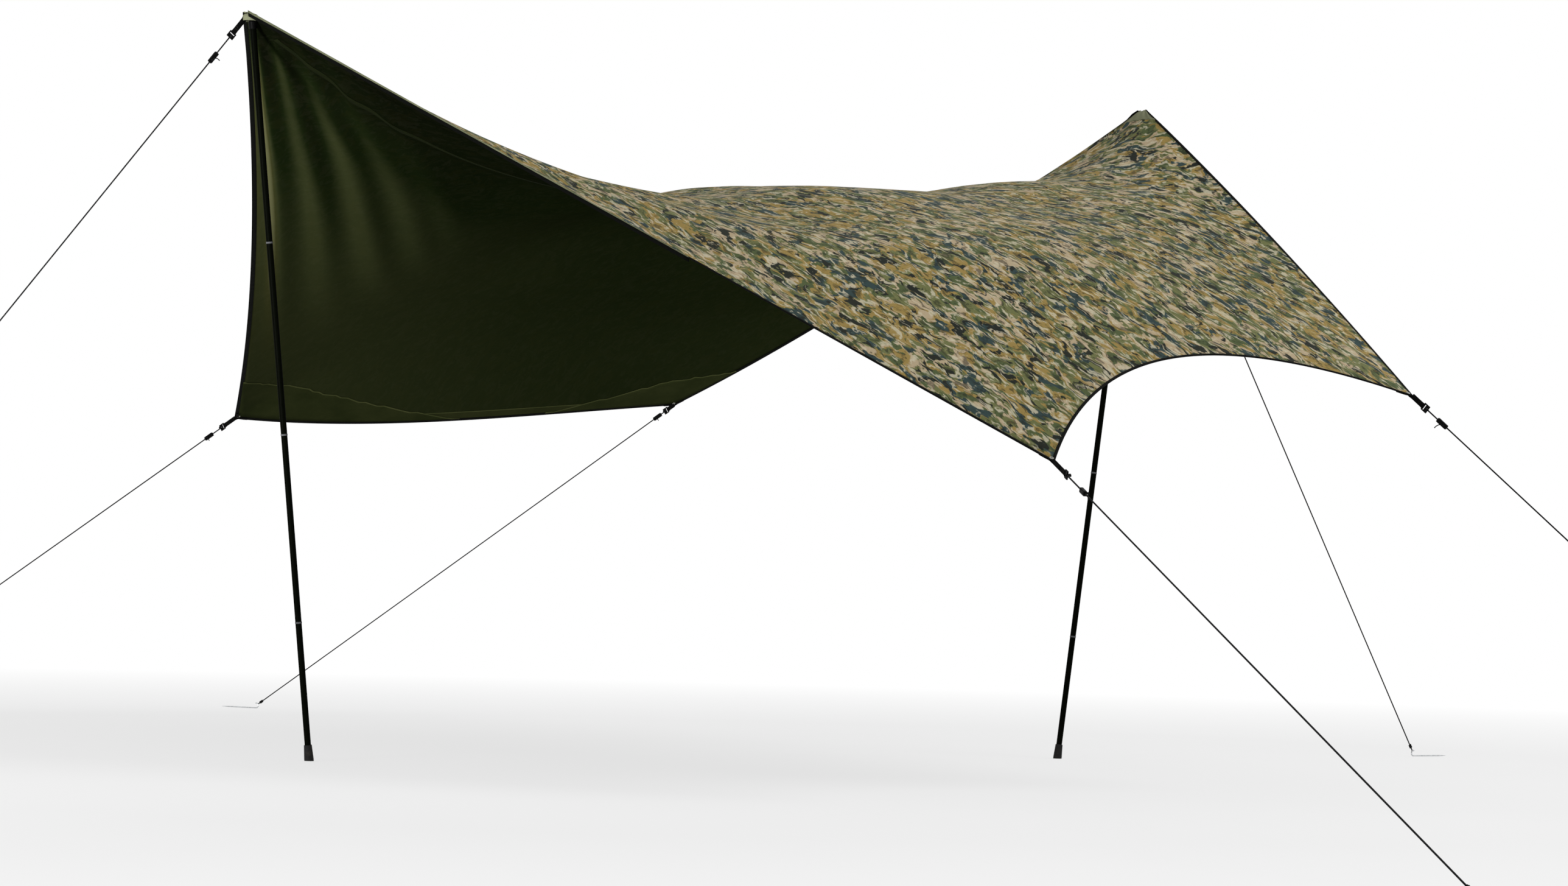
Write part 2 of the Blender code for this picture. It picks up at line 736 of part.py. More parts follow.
def pole(side, foot, first, second):
    step = unit(NET[second, RIDGE] - NET[first, RIDGE])
    crest = NET[first, RIDGE] + step * (POLE_IN_FROM_PEAK - PEAK_CUT)
    top = crest - np.array([0, 0, CLOTH / 2 + CUP_DROPS[side]])
    ground = np.array(foot)
    length = np.linalg.norm(top - ground)
    name = "pole_" + side + "_"
    cup_top = length

    pieces = []
    crown = cup_top - 0.0085
    cup = [
        (0.0, cup_top),
        (0.0035, cup_top),
        (CUP_RADIUS, crown),
        (CUP_RADIUS, cup_top - CUP_DEPTH),
        (CUP_RADIUS - CUP_WALL, cup_top - CUP_DEPTH),
        (CUP_RADIUS - CUP_WALL, crown - 0.001),
        (0.0035, cup_top - CUP_CROWN),
        (0.0, cup_top - CUP_CROWN),
    ]
    pieces.append(turned("pole_cup_" + side, cup, PLASTIC, PARTS))
    head = crown - 0.0016
    tip = [
        (0.0, cup_top - CUP_CROWN - FIT_GAP),
        (0.0030, cup_top - CUP_CROWN - FIT_GAP),
        (POLE_RADIUS - 0.0004, head),
        (POLE_RADIUS - 0.0004, head - 0.004),
        (BORE - SLEEVE_GAP, head - 0.004),
        (BORE - SLEEVE_GAP, head - 0.004 - TIP_STEM),
        (0.0, head - 0.004 - TIP_STEM),
    ]
    pieces.append(turned(name + "tip", tip, PLASTIC, PARTS))
    tube_top = head - 0.004 - FIT_GAP
    low, middle, high = POLE_JOINTS
    pieces.append(turned(name + "top", section_profile(high, tube_top, True), POLE_METAL, PARTS, True))
    pieces.append(turned(name + "upper", section_profile(middle, high - FIT_GAP, True), POLE_METAL, PARTS, True))
    pieces.append(turned(name + "lower", section_profile(low, middle - FIT_GAP, True), POLE_METAL, PARTS, True))
    base = section_profile(FOOT_SEAT + FIT_GAP, low - FIT_GAP, False)
    pieces.append(turned(name + "base", base, POLE_METAL, PARTS, True))
    shoe = [
        (0.0, FOOT_SEAT),
        (POLE_RADIUS + FIT_GAP, FOOT_SEAT),
        (POLE_RADIUS + FIT_GAP, FOOT_HEIGHT),
        (FOOT_TOP_RADIUS, FOOT_HEIGHT),
        (FOOT_RADIUS, 0.006),
        (FOOT_RADIUS, -0.004),
        (0.0, -0.004),
    ]
    boot = turned(name + "foot", shoe, RUBBER, PARTS)
    pieces.append(boot)
    for piece in pieces:
        along_pole(piece, ground, top)
    soil = box("ground_" + side, (0.2, 0.2, 0.1), None, TOOLS)
    soil.location = (foot[0], foot[1], -0.05)
    cut(boot, as_cutter(soil))


pole("left", FOOT_LEFT, 0, 1)
pole("right", FOOT_RIGHT, LAST_RIB, LAST_RIB - 1)

for shaped in PARTS.objects:
    if shaped.type == "MESH" and shaped.name.startswith(("pole_", "tensioner_", "buckle_")):
        shaped.data.shade_smooth()
        shaped.data.set_sharp_from_angle(angle=math.radians(40))
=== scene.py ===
"""Looks of a six-cornered camping tarp pitched on two poles, in metres, ground at z = 0."""
import math
from collections import namedtuple

import bmesh
import bpy
import numpy as np
from mathutils import Matrix, Vector


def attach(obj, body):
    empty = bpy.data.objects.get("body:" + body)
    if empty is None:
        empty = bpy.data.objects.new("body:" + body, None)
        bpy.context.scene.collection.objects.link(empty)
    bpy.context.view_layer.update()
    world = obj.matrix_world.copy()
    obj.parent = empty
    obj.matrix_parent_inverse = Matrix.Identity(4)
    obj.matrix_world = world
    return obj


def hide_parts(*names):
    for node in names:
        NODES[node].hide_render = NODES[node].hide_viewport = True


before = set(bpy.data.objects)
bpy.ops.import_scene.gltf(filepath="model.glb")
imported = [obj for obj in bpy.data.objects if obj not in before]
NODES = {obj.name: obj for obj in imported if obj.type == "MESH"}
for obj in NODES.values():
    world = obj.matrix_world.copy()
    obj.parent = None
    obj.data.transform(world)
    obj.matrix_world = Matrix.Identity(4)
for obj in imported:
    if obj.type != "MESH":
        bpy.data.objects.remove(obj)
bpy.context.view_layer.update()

# Camera, worked out from the six corners, the pole feet and the pegs of the picture
CAMERA_AT = (-6.67, -10.09, 0.55)
CAMERA_YAW = math.radians(34.12)
CAMERA_PITCH = math.radians(1.91)
CAMERA_ROLL = math.radians(1.56)
LENS = 93.13
SENSOR = 36.0
FARTHEST = 300.0

# Corner points of the pitched canopy
PEAK_LEFT = (-1.620, 0.110, 2.097)
PEAK_RIGHT = (1.614, 0.110, 2.101)
REAR_LEFT = (-0.507, 2.324, 1.042)
REAR_RIGHT = (1.215, 2.260, 1.166)
FRONT_LEFT = (-0.576, -2.270, 0.853)
FRONT_RIGHT = (0.859, -1.991, 1.088)
MIDDLE = (0.0, 0.110, 0.0)
FOOT_LEFT = (-1.333, 0.128, 0.0)
FOOT_RIGHT = (1.345, 0.137, 0.0)
Kit = namedtuple("Kit", "gap strap tensioner peg")

# At each corner: room between cloth and strap, the strap's length, how far out on the line the
# tensioner sits, and where the line is pegged
KITS = {
    "peak_left": Kit(0.0011, 0.072, 0.168, (-3.223, 0.156)),
    "peak_right": Kit(0.0010, 0.072, 0.168, (2.941, 0.204)),
    "rear_left": Kit(0.0005, 0.050, 0.125, (-1.288, 3.895)),
    "rear_right": Kit(0.0004, 0.030, 0.082, (0.385, 3.863)),
    "front_left": Kit(0.0006, 0.100, 0.250, (-1.465, -4.684)),
    "front_right": Kit(0.0006, 0.042, 0.118, (1.311, -3.207)),
}

# Hem curvature: bow towards the middle, rise, and where the bow is deepest
HEMS = {
    "rear_left": (0.045, -0.040, 0.0),
    "rear": (-0.030, -0.030, -0.6),
    "rear_right": (-0.080, -0.020, -0.3),
    "front_left": (0.000, 0.000, 0.0),
    "front": (0.262, 0.185, 0.0),
    "front_right": (-0.010, 0.010, 0.0),
}

# The net that the cloth's balance is worked out on
RIBS = 30
RIB_LEFT_CORNER = 12
RIB_RIGHT_CORNER = 19
PANEL_STRIPS = 16
ACROSS = 2 * PANEL_STRIPS
LONG_PULL = 1.2
TAPER_POWER = 2.0
WIND_LOAD = 0.47
RELAX_ROUNDS = 12
PEAK_CUT = 0.020
PEAK_CREST = 0.28
PEAK_ROWS = (0.10, 0.28)
FINE_ALONG = 8
FINE_OVER = 6

# Folds that fan out of the peaks: count, height, reach
FOLDS_LEFT = (5, 0.008, 0.33)
FOLDS_RIGHT = (4, 0.006, 0.25)

# How the ridge lies between the peaks: heights, where along it and how far each reaches
RIDGE_RISE_LEFT = (0.068, 0.083)
RIDGE_RISE_RIGHT = (0.060, 0.080)
RIDGE_SAG = (-0.058, 0.287, 0.105)
RIDGE_SWELL = (0.045, 0.812, 0.060)

# Cloth and trim
SHEET = 0.0012
BINDING_UNDER = 0.011
BINDING_OVER = 0.0045
BINDING_OUT = 0.0032
BINDING_HALF = 0.0020
HEM_CLEAR = 0.0002
HEM_FOLD = 0.0012
STRAP_WIDTH = 0.015
STRAP = 0.0018
STRAP_CLEAR = 0.0010
BUCKLE_LENGTH = 0.020
TENSIONER_HEIGHT = 0.010
TAIL_HOLE_AT = 0.0110
TAIL_LEAN = -0.029
FIT_GAP = 0.0003
CORD_RADIUS = 0.0020
CORD_STEPS = 90
PEG_WIRE = 0.00225
PEG_HOOK = 0.0090
PEG_RISE = PEG_WIRE + PEG_HOOK
POLE_RADIUS = 0.0090
POLE_JOINTS = (0.395, 0.925, 1.465)
UP = np.array((0.0, 0.0, 1.0))


def unit(v):
    v = np.asarray(v, float)
    return v / np.linalg.norm(v, axis=-1, keepdims=True)


# Camera
def make_camera():
    data = bpy.data.cameras.new("camera")
    data.lens = LENS
    data.sensor_width = SENSOR
    data.clip_end = FARTHEST
    camera = bpy.data.objects.new("camera", data)
    turn = Matrix.Rotation(-CAMERA_YAW, 4, "Z")
    turn = turn @ Matrix.Rotation(math.pi / 2 + CAMERA_PITCH, 4, "X")
    turn = turn @ Matrix.Rotation(CAMERA_ROLL, 4, "Z")
    camera.matrix_world = Matrix.Translation(CAMERA_AT) @ turn
    bpy.context.scene.collection.objects.link(camera)
    bpy.context.scene.camera = camera


make_camera()


# Node materials
class Nodes:
    """Shader nodes that are added one call at a time."""

    def __init__(self, tree):
        self.tree = tree

    def node(self, kind, values=None, **settings):
        made = self.tree.nodes.new(kind)
        for key, value in settings.items():
            setattr(made, key, value)
        for socket, value in (values or {}).items():
            self.put(made, socket, value)
        return made

    def put(self, target, socket, value):
        place = target.inputs[socket]
        if isinstance(value, bpy.types.NodeSocket):
            self.tree.links.new(value, place)
        else:
            place.default_value = value

    def coords(self):
        return self.node("ShaderNodeTexCoord").outputs["Object"]

    def lay(self):
        """Position on the piece itself: metres along it and across it; on the canopy cloth the third
        value holds the painted light and shade of the underside.
        """
        return self.node("ShaderNodeAttribute", attribute_name="lay").outputs["Vector"]

    def shifted(self, vector, by):
        return self.node("ShaderNodeVectorMath", {0: vector, 1: by}, operation="ADD").outputs[0]

    def scaled(self, vector, by):
        return self.node("ShaderNodeVectorMath", {0: vector, 1: by}, operation="MULTIPLY").outputs[0]

    def parts(self, vector):
        return self.node("ShaderNodeSeparateXYZ", {0: vector}).outputs

    def noise(self, vector, scale, detail=2.0, roughness=0.5, distortion=0.0):
        values = {
            "Vector": vector,
            "Scale": scale,
            "Detail": detail,
            "Roughness": roughness,
            "Distortion": distortion,
        }
        return self.node("ShaderNodeTexNoise", values).outputs

    def math(self, operation, a, b=0.0, clamp=False):
        return self.node("ShaderNodeMath", {0: a, 1: b}, operation=operation, use_clamp=clamp).outputs[0]

    def times(self, a, b):
        return self.math("MULTIPLY", a, b)

    def wave(self, value, rate=1.0):
        return self.math("SINE", value if rate == 1.0 else self.times(value, rate))

    def span(self, value, low, high, to_low=0.0, to_high=1.0):
        values = {"Value": value, "From Min": low, "From Max": high, "To Min": to_low, "To Max": to_high}
        return self.node("ShaderNodeMapRange", values, clamp=True).outputs[0]

    def mix(self, share, a, b, blend="MIX"):
        made = self.node("ShaderNodeMix", {0: share}, data_type="RGBA", blend_type=blend)
        for index, value in ((6, a), (7, b)):
            self.put(made, index, (*value, 1.0) if isinstance(value, tuple) else value)
        return made.outputs[2]

    def bump(self, height, distance, strength=1.0, under=None):
        values = {"Height": height, "Distance": distance, "Strength": strength}
        if under is not None:
            values["Normal"] = under
        return self.node("ShaderNodeBump", values).outputs[0]

    def seen_directly(self):
        """One for rays from the camera, and for what shows in or through a surface."""
        rays = self.node("ShaderNodeLightPath").outputs
        seen = self.math("ADD", rays["Is Camera Ray"], rays["Is Glossy Ray"], True)
        return self.math("ADD", seen, rays["Is Transmission Ray"], True)


class Finish(Nodes):
    """A surface material."""

    def __init__(self, name):
        self.material = bpy.data.materials.new(name)
        self.material.use_nodes = True
        super().__init__(self.material.node_tree)
        self.shader = self.tree.nodes["Principled BSDF"]

    def set(self, socket, value):
        self.put(self.shader, socket, value)

    def done(self, tint, roughness, specular, normal):
        self.set("Base Color", tint)
        self.set("Roughness", roughness)
        self.set("Specular IOR Level", specular)
        self.set("Normal", normal)
        return self.material


def colour(r, g, b):
    """A colour written in screen values from 0 to 255, as linear light."""
    out = []
    for c in (r, g, b):
        c = c / 255.0
        out.append(c / 12.92 if c <= 0.04045 else ((c + 0.055) / 1.055) ** 2.4)
    return tuple(out)


TAN = colour(193, 174, 142)
OCHRE = colour(162, 138, 78)
OLIVE = colour(114, 118, 74)
MOSS = colour(84, 96, 60)
SLATE = colour(50, 69, 69)
NIGHT = colour(26, 31, 26)
CREAM = colour(216, 208, 180)
COATING = colour(20, 29, 10)
# Painted light on the underside coating, a painted highlight on its folds, the folds' painted glint, and
# painted shade
LIT_COATING = colour(53, 58, 33)
PAINTED_FOLD_HIGHLIGHT = colour(61, 63, 34)
GLINT = colour(110, 110, 76)
SHADED = colour(11, 13, 6)
STAINED_COATING = colour(24, 32, 13)
DUST = colour(150, 146, 122)
PRINT_THROUGH = 0.006


def camouflage(f):
    """Overlapping leaf-like strokes of six earth colours, drawn out down the slope."""
    where = f.scaled(f.lay(), (1.15, 0.42, 0.0))
    drift = f.shifted(f.noise(where, 13.0, 3.0, 0.6)["Color"], (-0.5, -0.5, -0.5))
    ragged = f.shifted(f.noise(where, 80.0, 2.0, 0.6)["Color"], (-0.5, -0.5, -0.5))
    base = f.shifted(where, f.scaled(drift, (0.120, 0.060, 0.0)))
    base = f.shifted(base, f.scaled(ragged, (0.012, 0.006, 0.0)))
    tone = f.noise(f.shifted(base, (3.1, 7.7, 1.9)), 8.0, 1.0)["Fac"]
    painted = f.mix(f.span(tone, 0.49, 0.51), TAN, OCHRE)
    layers = (
        (OLIVE, (11.3, 2.9, 5.1), 22.0, 0.500),
        (TAN, (4.7, 19.1, 8.3), 30.0, 0.600),
        (MOSS, (23.9, 14.1, 2.2), 25.0, 0.560),
        (OCHRE, (6.1, 31.3, 12.7), 26.0, 0.585),
        (SLATE, (37.3, 9.7, 21.1), 26.0, 0.585),
        (NIGHT, (51.9, 43.1, 17.3), 32.0, 0.600),
    )
    for shade, offset, scale, edge in layers:
        field = f.noise(f.shifted(base, offset), scale, 2.0, 0.55, 0.25)["Fac"]
        painted = f.mix(f.span(field, edge - 0.008, edge + 0.008), painted, shade)
    strokes = f.noise(f.scaled(base, (1.4, 0.9, 1.0)), 52.0, 2.0, 0.55)["Fac"]
    painted = f.mix(f.span(strokes, 0.55, 0.62, 0.0, 0.75), painted, CREAM)
    return f.mix(f.span(strokes, 0.45, 0.38, 0.0, 0.66), painted, NIGHT)


THREAD_WAVES = 9000.0
RIPSTOP_GRID = 0.005


def ripstop(f, where):
    """Fine plain weave with a slightly heavier thread every five millimetres."""
    x, y, _ = f.parts(where)
    along, across = (f.times(f.wave(axis, THREAD_WAVES), 0.15) for axis in (x, y))
    threads = f.math("ADD", along, across)
    for axis in (x, y):
        cell = f.math("ABSOLUTE", f.wave(axis, math.pi / RIPSTOP_GRID))
        threads = f.math("ADD", threads, f.span(cell, 0.0, 0.22, 1.0, 0.0))
    return threads


def camo_finish():
    f = Finish("camo_ripstop")
    where = f.coords()
    dust = f.noise(where, 1.7, 4.0, 0.6)["Fac"]
    painted = f.mix(f.span(dust, 0.35, 0.75, 0.0, 0.06), camouflage(f), DUST)
    grain = f.noise(where, 420.0, 1.0)["Fac"]
    painted = f.mix(f.span(grain, 0.3, 0.7, 0.0, 0.18), painted, (0.02, 0.02, 0.015), "MULTIPLY")
    soft = f.bump(f.noise(where, 14.0, 4.0, 0.55)["Fac"], 0.006, 0.45)
    woven = f.bump(ripstop(f, f.lay()), 0.00012, 0.5, soft)
    return f.done(painted, f.span(dust, 0.3, 0.7, 0.62, 0.74), 0.04, woven)


# Painted light and shade on the coating: painted light where it lies open, painted highlights on the
# folds with their painted glints, and painted shade under the peaks
UNDERSIDE_PAINTED_LIGHT_AND_SHADE = (
    (0.0, 1.0, LIT_COATING),
    (1.0, 2.0, PAINTED_FOLD_HIGHLIGHT),
    (2.0, 3.0, GLINT),
    (0.0, -1.0, SHADED),
)


def underside_finish():
    """Dark olive coating with painted light, painted fold highlights and painted shade; a trace of the
    print shows through from the other face.
    """
    f = Finish("coated_underside")
    where = f.coords()
    stain = f.noise(where, 2.3, 3.0, 0.6)["Fac"]
    # tone is painted light and shade read from the lay: painted shade below 0, painted light up to 1,
    # painted fold highlights up to 2, painted glints up to 3
    tone = f.parts(f.lay())[2]
    dark = f.mix(f.span(stain, 0.3, 0.7), COATING, STAINED_COATING)
    for low, high, shade in UNDERSIDE_PAINTED_LIGHT_AND_SHADE:
        dark = f.mix(f.span(tone, low, high), dark, shade)
    dark = f.mix(PRINT_THROUGH, dark, camouflage(f))
    soft = f.bump(f.noise(where, 11.0, 4.0, 0.55)["Fac"], 0.006, 0.4)
    woven = f.bump(ripstop(f, f.lay()), 0.0001, 0.4, soft)
    return f.done(dark, f.span(stain, 0.3, 0.7, 0.84, 0.94), 0.0, woven)


def patch_finish(name, base, second, roughness):
    """Plain coated reinforcement cloth with a visible weave."""
    f = Finish(name)
    where = f.coords()
    stain = f.noise(where, 9.0, 4.0, 0.6)["Fac"]
    tint = f.mix(f.span(stain, 0.35, 0.68), base, second)
    soft = f.bump(f.noise(where, 40.0, 3.0)["Fac"], 0.002, 0.4)
    woven = f.bump(ripstop(f, f.lay()), 0.00015, 0.6, soft)
    return f.done(tint, f.span(stain, 0.3, 0.7, roughness - 0.06, roughness + 0.06), 0.01, woven)


RIB_PITCH = 0.0016
TWILL_WAVES = (3200.0, 5200.0)
BRAID_PITCH = 0.0045
FLECK_WAVES = 180.0


def webbing_finish(name, base, worn):
    """Flat woven tape: ribs across it, a twill run along it, worn selvedges, and painted shade in the
    weave's hollows.
    """
    f = Finish(name)
    along, across, _ = f.parts(f.lay())
    ribs = f.wave(along, 2 * math.pi / RIB_PITCH)
    slant = f.math("ADD", f.times(along, TWILL_WAVES[0]), f.times(across, TWILL_WAVES[1]))
    weave = f.math("ADD", ribs, f.times(f.wave(slant), 0.6))
    grime = f.noise(f.coords(), 60.0, 4.0, 0.65)["Fac"]
    tint = f.mix(f.span(grime, 0.45, 0.8, 0.0, 0.7), base, worn)
    # Painted shade: the weave's hollows are darkened towards black
    tint = f.mix(f.span(weave, -1.2, -0.2, 0.55, 0.0), tint, (0.002, 0.002, 0.002))
    return f.done(tint, f.span(grime, 0.3, 0.8, 0.74, 0.90), 0.04, f.bump(weave, 0.0002, 0.7))


def cord_finish():
    """Braided cord: two sets of strands crossing round it, with a light fleck and painted shade in the
    braid's hollows.
    """
    f = Finish("braided_cord")
    along, side, height = f.parts(f.lay())
    angle = f.math("ARCTAN2", height, side)
    turns = f.times(angle, 4.0)
    run = f.times(along, 2 * math.pi / BRAID_PITCH)
    braid = f.times(f.wave(f.math("ADD", turns, run)), f.wave(f.math("SUBTRACT", turns, run)))
    fleck = f.wave(f.math("ADD", angle, f.times(along, FLECK_WAVES)))
    fleck = f.times(f.math("GREATER_THAN", fleck, 0.93), 0.4)
    # Painted shade: the braid's hollows darker and its crests lighter
    tint = f.mix(f.span(braid, -0.8, 0.6), colour(8, 8, 9), colour(30, 31, 32))
    tint = f.mix(fleck, tint, colour(84, 84, 80))
    return f.done(tint, f.span(braid, -1.0, 1.0, 0.85, 0.65), 0.05, f.bump(braid, 0.0004, 0.8))


def plastic_finish():
    f = Finish("moulded_plastic")
    where = f.coords()
    cloudy = f.noise(where, 45.0, 4.0, 0.6)["Fac"]
    scuffs = f.noise(f.scaled(where, (1.0, 1.0, 5.0)), 260.0, 3.0, 0.7)["Fac"]
    tint = f.mix(f.span(cloudy, 0.35, 0.75), colour(5, 5, 5), colour(14, 14, 14))
    tint = f.mix(f.span(scuffs, 0.62, 0.72, 0.0, 0.30), tint, colour(70, 70, 68))
    pitted = f.bump(f.noise(where, 900.0, 2.0)["Fac"], 0.0001, 0.3)
    return f.done(tint, f.span(cloudy, 0.3, 0.8, 0.38, 0.55), 0.03, pitted)


def steel_finish():
    f = Finish("galvanised_steel")
    where = f.coords()
    cloudy = f.noise(where, 130.0, 4.0, 0.6)["Fac"]
    tint = f.mix(f.span(cloudy, 0.35, 0.7), colour(176, 178, 180), colour(210, 212, 213))
    f.set("Metallic", 1.0)
    pitted = f.bump(f.noise(where, 700.0, 2.0)["Fac"], 0.0001, 0.25)
    return f.done(tint, f.span(cloudy, 0.3, 0.75, 0.24, 0.42), 0.5, pitted)


def pole_finish():
    """Black coated tube with fine lengthwise scratches."""
    f = Finish("coated_pole")
    where = f.coords()
    streaks = f.noise(f.scaled(where, (40.0, 40.0, 1.2)), 22.0, 3.0, 0.6)["Fac"]
    worn = f.noise(where, 34.0, 5.0, 0.7)["Fac"]
    tint = f.mix(f.span(streaks, 0.3, 0.8), colour(3, 4, 2), colour(9, 11, 6))
    tint = f.mix(f.span(worn, 0.70, 0.78, 0.0, 0.25), tint, colour(38, 40, 33))
    return f.done(tint, f.span(streaks, 0.3, 0.75, 0.36, 0.50), 0.005, f.bump(streaks, 0.0001, 0.25))


def rubber_finish():
    f = Finish("foot_rubber_black")
    where = f.coords()
    dust = f.noise(where, 55.0, 5.0, 0.7)["Fac"]
    tint = f.mix(f.span(dust, 0.5, 0.8, 0.0, 0.6), colour(13, 13, 13), colour(60, 57, 51))
    grained = f.bump(f.noise(where, 420.0, 3.0)["Fac"], 0.0003, 0.5)
    return f.done(tint, f.span(dust, 0.3, 0.8, 0.72, 0.92), 0.2, grained)


CAMO = camo_finish()
UNDERSIDE = underside_finish()
PATCH = patch_finish("patch_coated", colour(40, 46, 22), colour(50, 55, 29), 0.90)
FACING = patch_finish("facing_coated", colour(44, 49, 25), colour(53, 57, 31), 0.90)
CAP = patch_finish("cap_canvas", colour(140, 142, 116), colour(122, 125, 100), 0.80)
EDGE = patch_finish("rolled_edge", colour(112, 114, 90), colour(86, 90, 68), 0.80)
SEAM = patch_finish("seam_binding", colour(68, 74, 42), colour(82, 86, 52), 0.90)
TAPE = patch_finish("seam_tape", colour(22, 27, 12), colour(29, 34, 16), 0.90)
EYELET = patch_finish("nickel_eyelet", colour(196, 196, 188), colour(160, 160, 152), 0.40)
WEBBING = webbing_finish("black_webbing", colour(7, 7, 7), colour(18, 18, 18))
HEM = webbing_finish("black_hem_tape", colour(7, 8, 6), colour(17, 18, 14))
THREAD = webbing_finish("stitch_thread", colour(58, 58, 52), colour(84, 84, 76))
CORD = cord_finish()
PLASTIC = plastic_finish()
STEEL = steel_finish()
POLE = pole_finish()
RUBBER = rubber_finish()
FERRULE = patch_finish("ferrule_alloy", colour(74, 75, 77), colour(98, 99, 101), 0.40)


# Mesh helpers
def piece(name, points, faces, skins, lay=None, which=None, body="canopy"):
    """A mesh object, faces outwards, that rides on a body and takes its finish from a slot."""
    mesh = bpy.data.meshes.new(name)
    faces = [tuple(int(k) for k in face) for face in faces]
    mesh.from_pydata([tuple(p) for p in np.asarray(points, float)], [], faces)
    for skin in skins:
        mesh.materials.append(skin)
    if which is not None:
        mesh.polygons.foreach_set("material_index", np.asarray(which, np.int32))
    if lay is not None:
        store = mesh.attributes.new("lay", "FLOAT_VECTOR", "POINT")
        store.data.foreach_set("vector", np.asarray(lay, np.float32).ravel())
    mesh.polygons.foreach_set("use_smooth", np.full(len(mesh.polygons), True))
    mesh.update()
    bm = bmesh.new()
    bm.from_mesh(mesh)
    bmesh.ops.recalc_face_normals(bm, faces=bm.faces[:])
    bm.to_mesh(mesh)
    bm.free()
    obj = bpy.data.objects.new(name, mesh)
    bpy.context.scene.collection.objects.link(obj)
    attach(obj, body)
    return obj


def swept(rings, closed_path=False):
    """Faces that join equal rings of points, with filled ends."""
    count = len(rings)
    size = len(rings[0])
    faces = []
    for a in range(count if closed_path else count - 1):
        b = (a + 1) % count
        for k in range(size):
            n = (k + 1) % size
            faces.append((a * size + k, a * size + n, b * size + n, b * size + k))
    if not closed_path:
        faces.append(tuple(range(size))[::-1])
        faces.append(tuple((count - 1) * size + k for k in range(size)))
    return np.vstack(rings), faces


def turned(centre, one, two, axis, profile, steps):
    """A shape turned about an axis; profile rows are (radius, height)."""
    rings = []
    for a in np.linspace(0, 2 * math.pi, steps, endpoint=False):
        radial = math.cos(a) * one + math.sin(a) * two
        rings.append(np.array([centre + radial * r + axis * z for r, z in profile]))
    return swept(rings, True)


def run_lengths(path):
    steps = np.linalg.norm(np.diff(path, axis=0), axis=1)
    return np.concatenate([[0.0], np.cumsum(steps)])


def carried(path, across, up, profile):
    """A profile of (across, up) rows carried along a path, with its lay."""
    rings = [np.array([p + a * w + b * u for a, b in profile]) for p, w, u in zip(path, across, up)]
    lay = [(d, a, b) for d in run_lengths(path) for a, b in profile]
    return (*swept(rings), lay)


def round_tube(name, path, radius, skin, sides=12, body="canopy", hint=(0.31, 0.17, 0.93)):
    """A cord along a path, with lay = (metres along, cos, sin) for its braid."""
    path = np.asarray(path, float)
    hint = np.asarray(hint, float)
    tangent = unit(np.gradient(path, axis=0))
    side = unit(hint - (tangent @ hint)[:, None] * tangent)
    up = np.cross(tangent, side)
    angle = np.linspace(0, 2 * math.pi, sides, endpoint=False)
    circle = np.stack([np.cos(angle), np.sin(angle)], axis=1)
    rings = [p + radius * (circle @ np.array([a, b])) for p, a, b in zip(path, side, up)]
    lay = [(d, x, y) for d in run_lengths(path) for x, y in circle]
    points, faces = swept(rings)
    return piece(name, points, faces, [skin], lay, body=body)


def flat_band(name, path, wide, profile, skin):
    """A band along a path on the canopy; profile rows are (across, up) in metres."""
    path = np.asarray(path, float)
    tangent = unit(np.gradient(path, axis=0))
    wide = np.broadcast_to(np.asarray(wide, float), path.shape)
    wide = unit(wide - np.sum(wide * tangent, axis=1, keepdims=True) * tangent)
    points, faces, lay = carried(path, wide, np.cross(tangent, wide), profile)
    return piece(name, points, faces, [skin], lay)


def tape_profile(width, thickness):
    """Rounded flat section."""
    w = width / 2
    t = thickness / 2
    rim = t * 0.6
    return [(-w, -t + rim), (-w + rim, -t), (w - rim, -t), (w, -t + rim),
            (w, t - rim), (w - rim, t), (-w + rim, t), (-w, t - rim)]


# Cloth shape
def hem_points(start, end, t, bow):
    p0 = np.array(start)
    p1 = np.array(end)
    inward, rise, skew = bow
    t = np.asarray(t, float)[:, None]
    toward = np.array(MIDDLE) - (p0 + p1) / 2
    toward[2] = 0.0
    toward = unit(toward)
    arch = 4 * t * (1 - t) * (1 + skew * (2 * t - 1))
    return (1 - t) * p0 + t * p1 + arch * (inward * toward + np.array([0, 0, rise]))


def rim_points(side, stations):
    """Points of the rear or front rim at stations counted in ribs."""
    corners = (REAR_LEFT, REAR_RIGHT) if side == "rear" else (FRONT_LEFT, FRONT_RIGHT)
    bows = [HEMS[side + "_left"], HEMS[side], HEMS[side + "_right"]]
    ends = (PEAK_LEFT, *corners, PEAK_RIGHT)
    ribs = (0, RIB_LEFT_CORNER, RIB_RIGHT_CORNER, RIBS)
    out = np.zeros((len(stations), 3))
    for k in range(3):
        inside = (stations >= ribs[k]) & (stations <= ribs[k + 1])
        t = (stations[inside] - ribs[k]) / (ribs[k + 1] - ribs[k])
        out[inside] = hem_points(ends[k], ends[k + 1], t, bows[k])
    return out


def peak_row(peak, rear_corner, front_corner, count):
    top = np.array(peak)
    rear = unit(np.array(rear_corner) - top)
    front = unit(np.array(front_corner) - top)
    w = np.linspace(0, 1, count)[:, None]
    way = (1 - w) * rear + w * front + 4 * w * (1 - w) * np.array([0, 0, PEAK_CREST])
    return top + PEAK_CUT * unit(way)


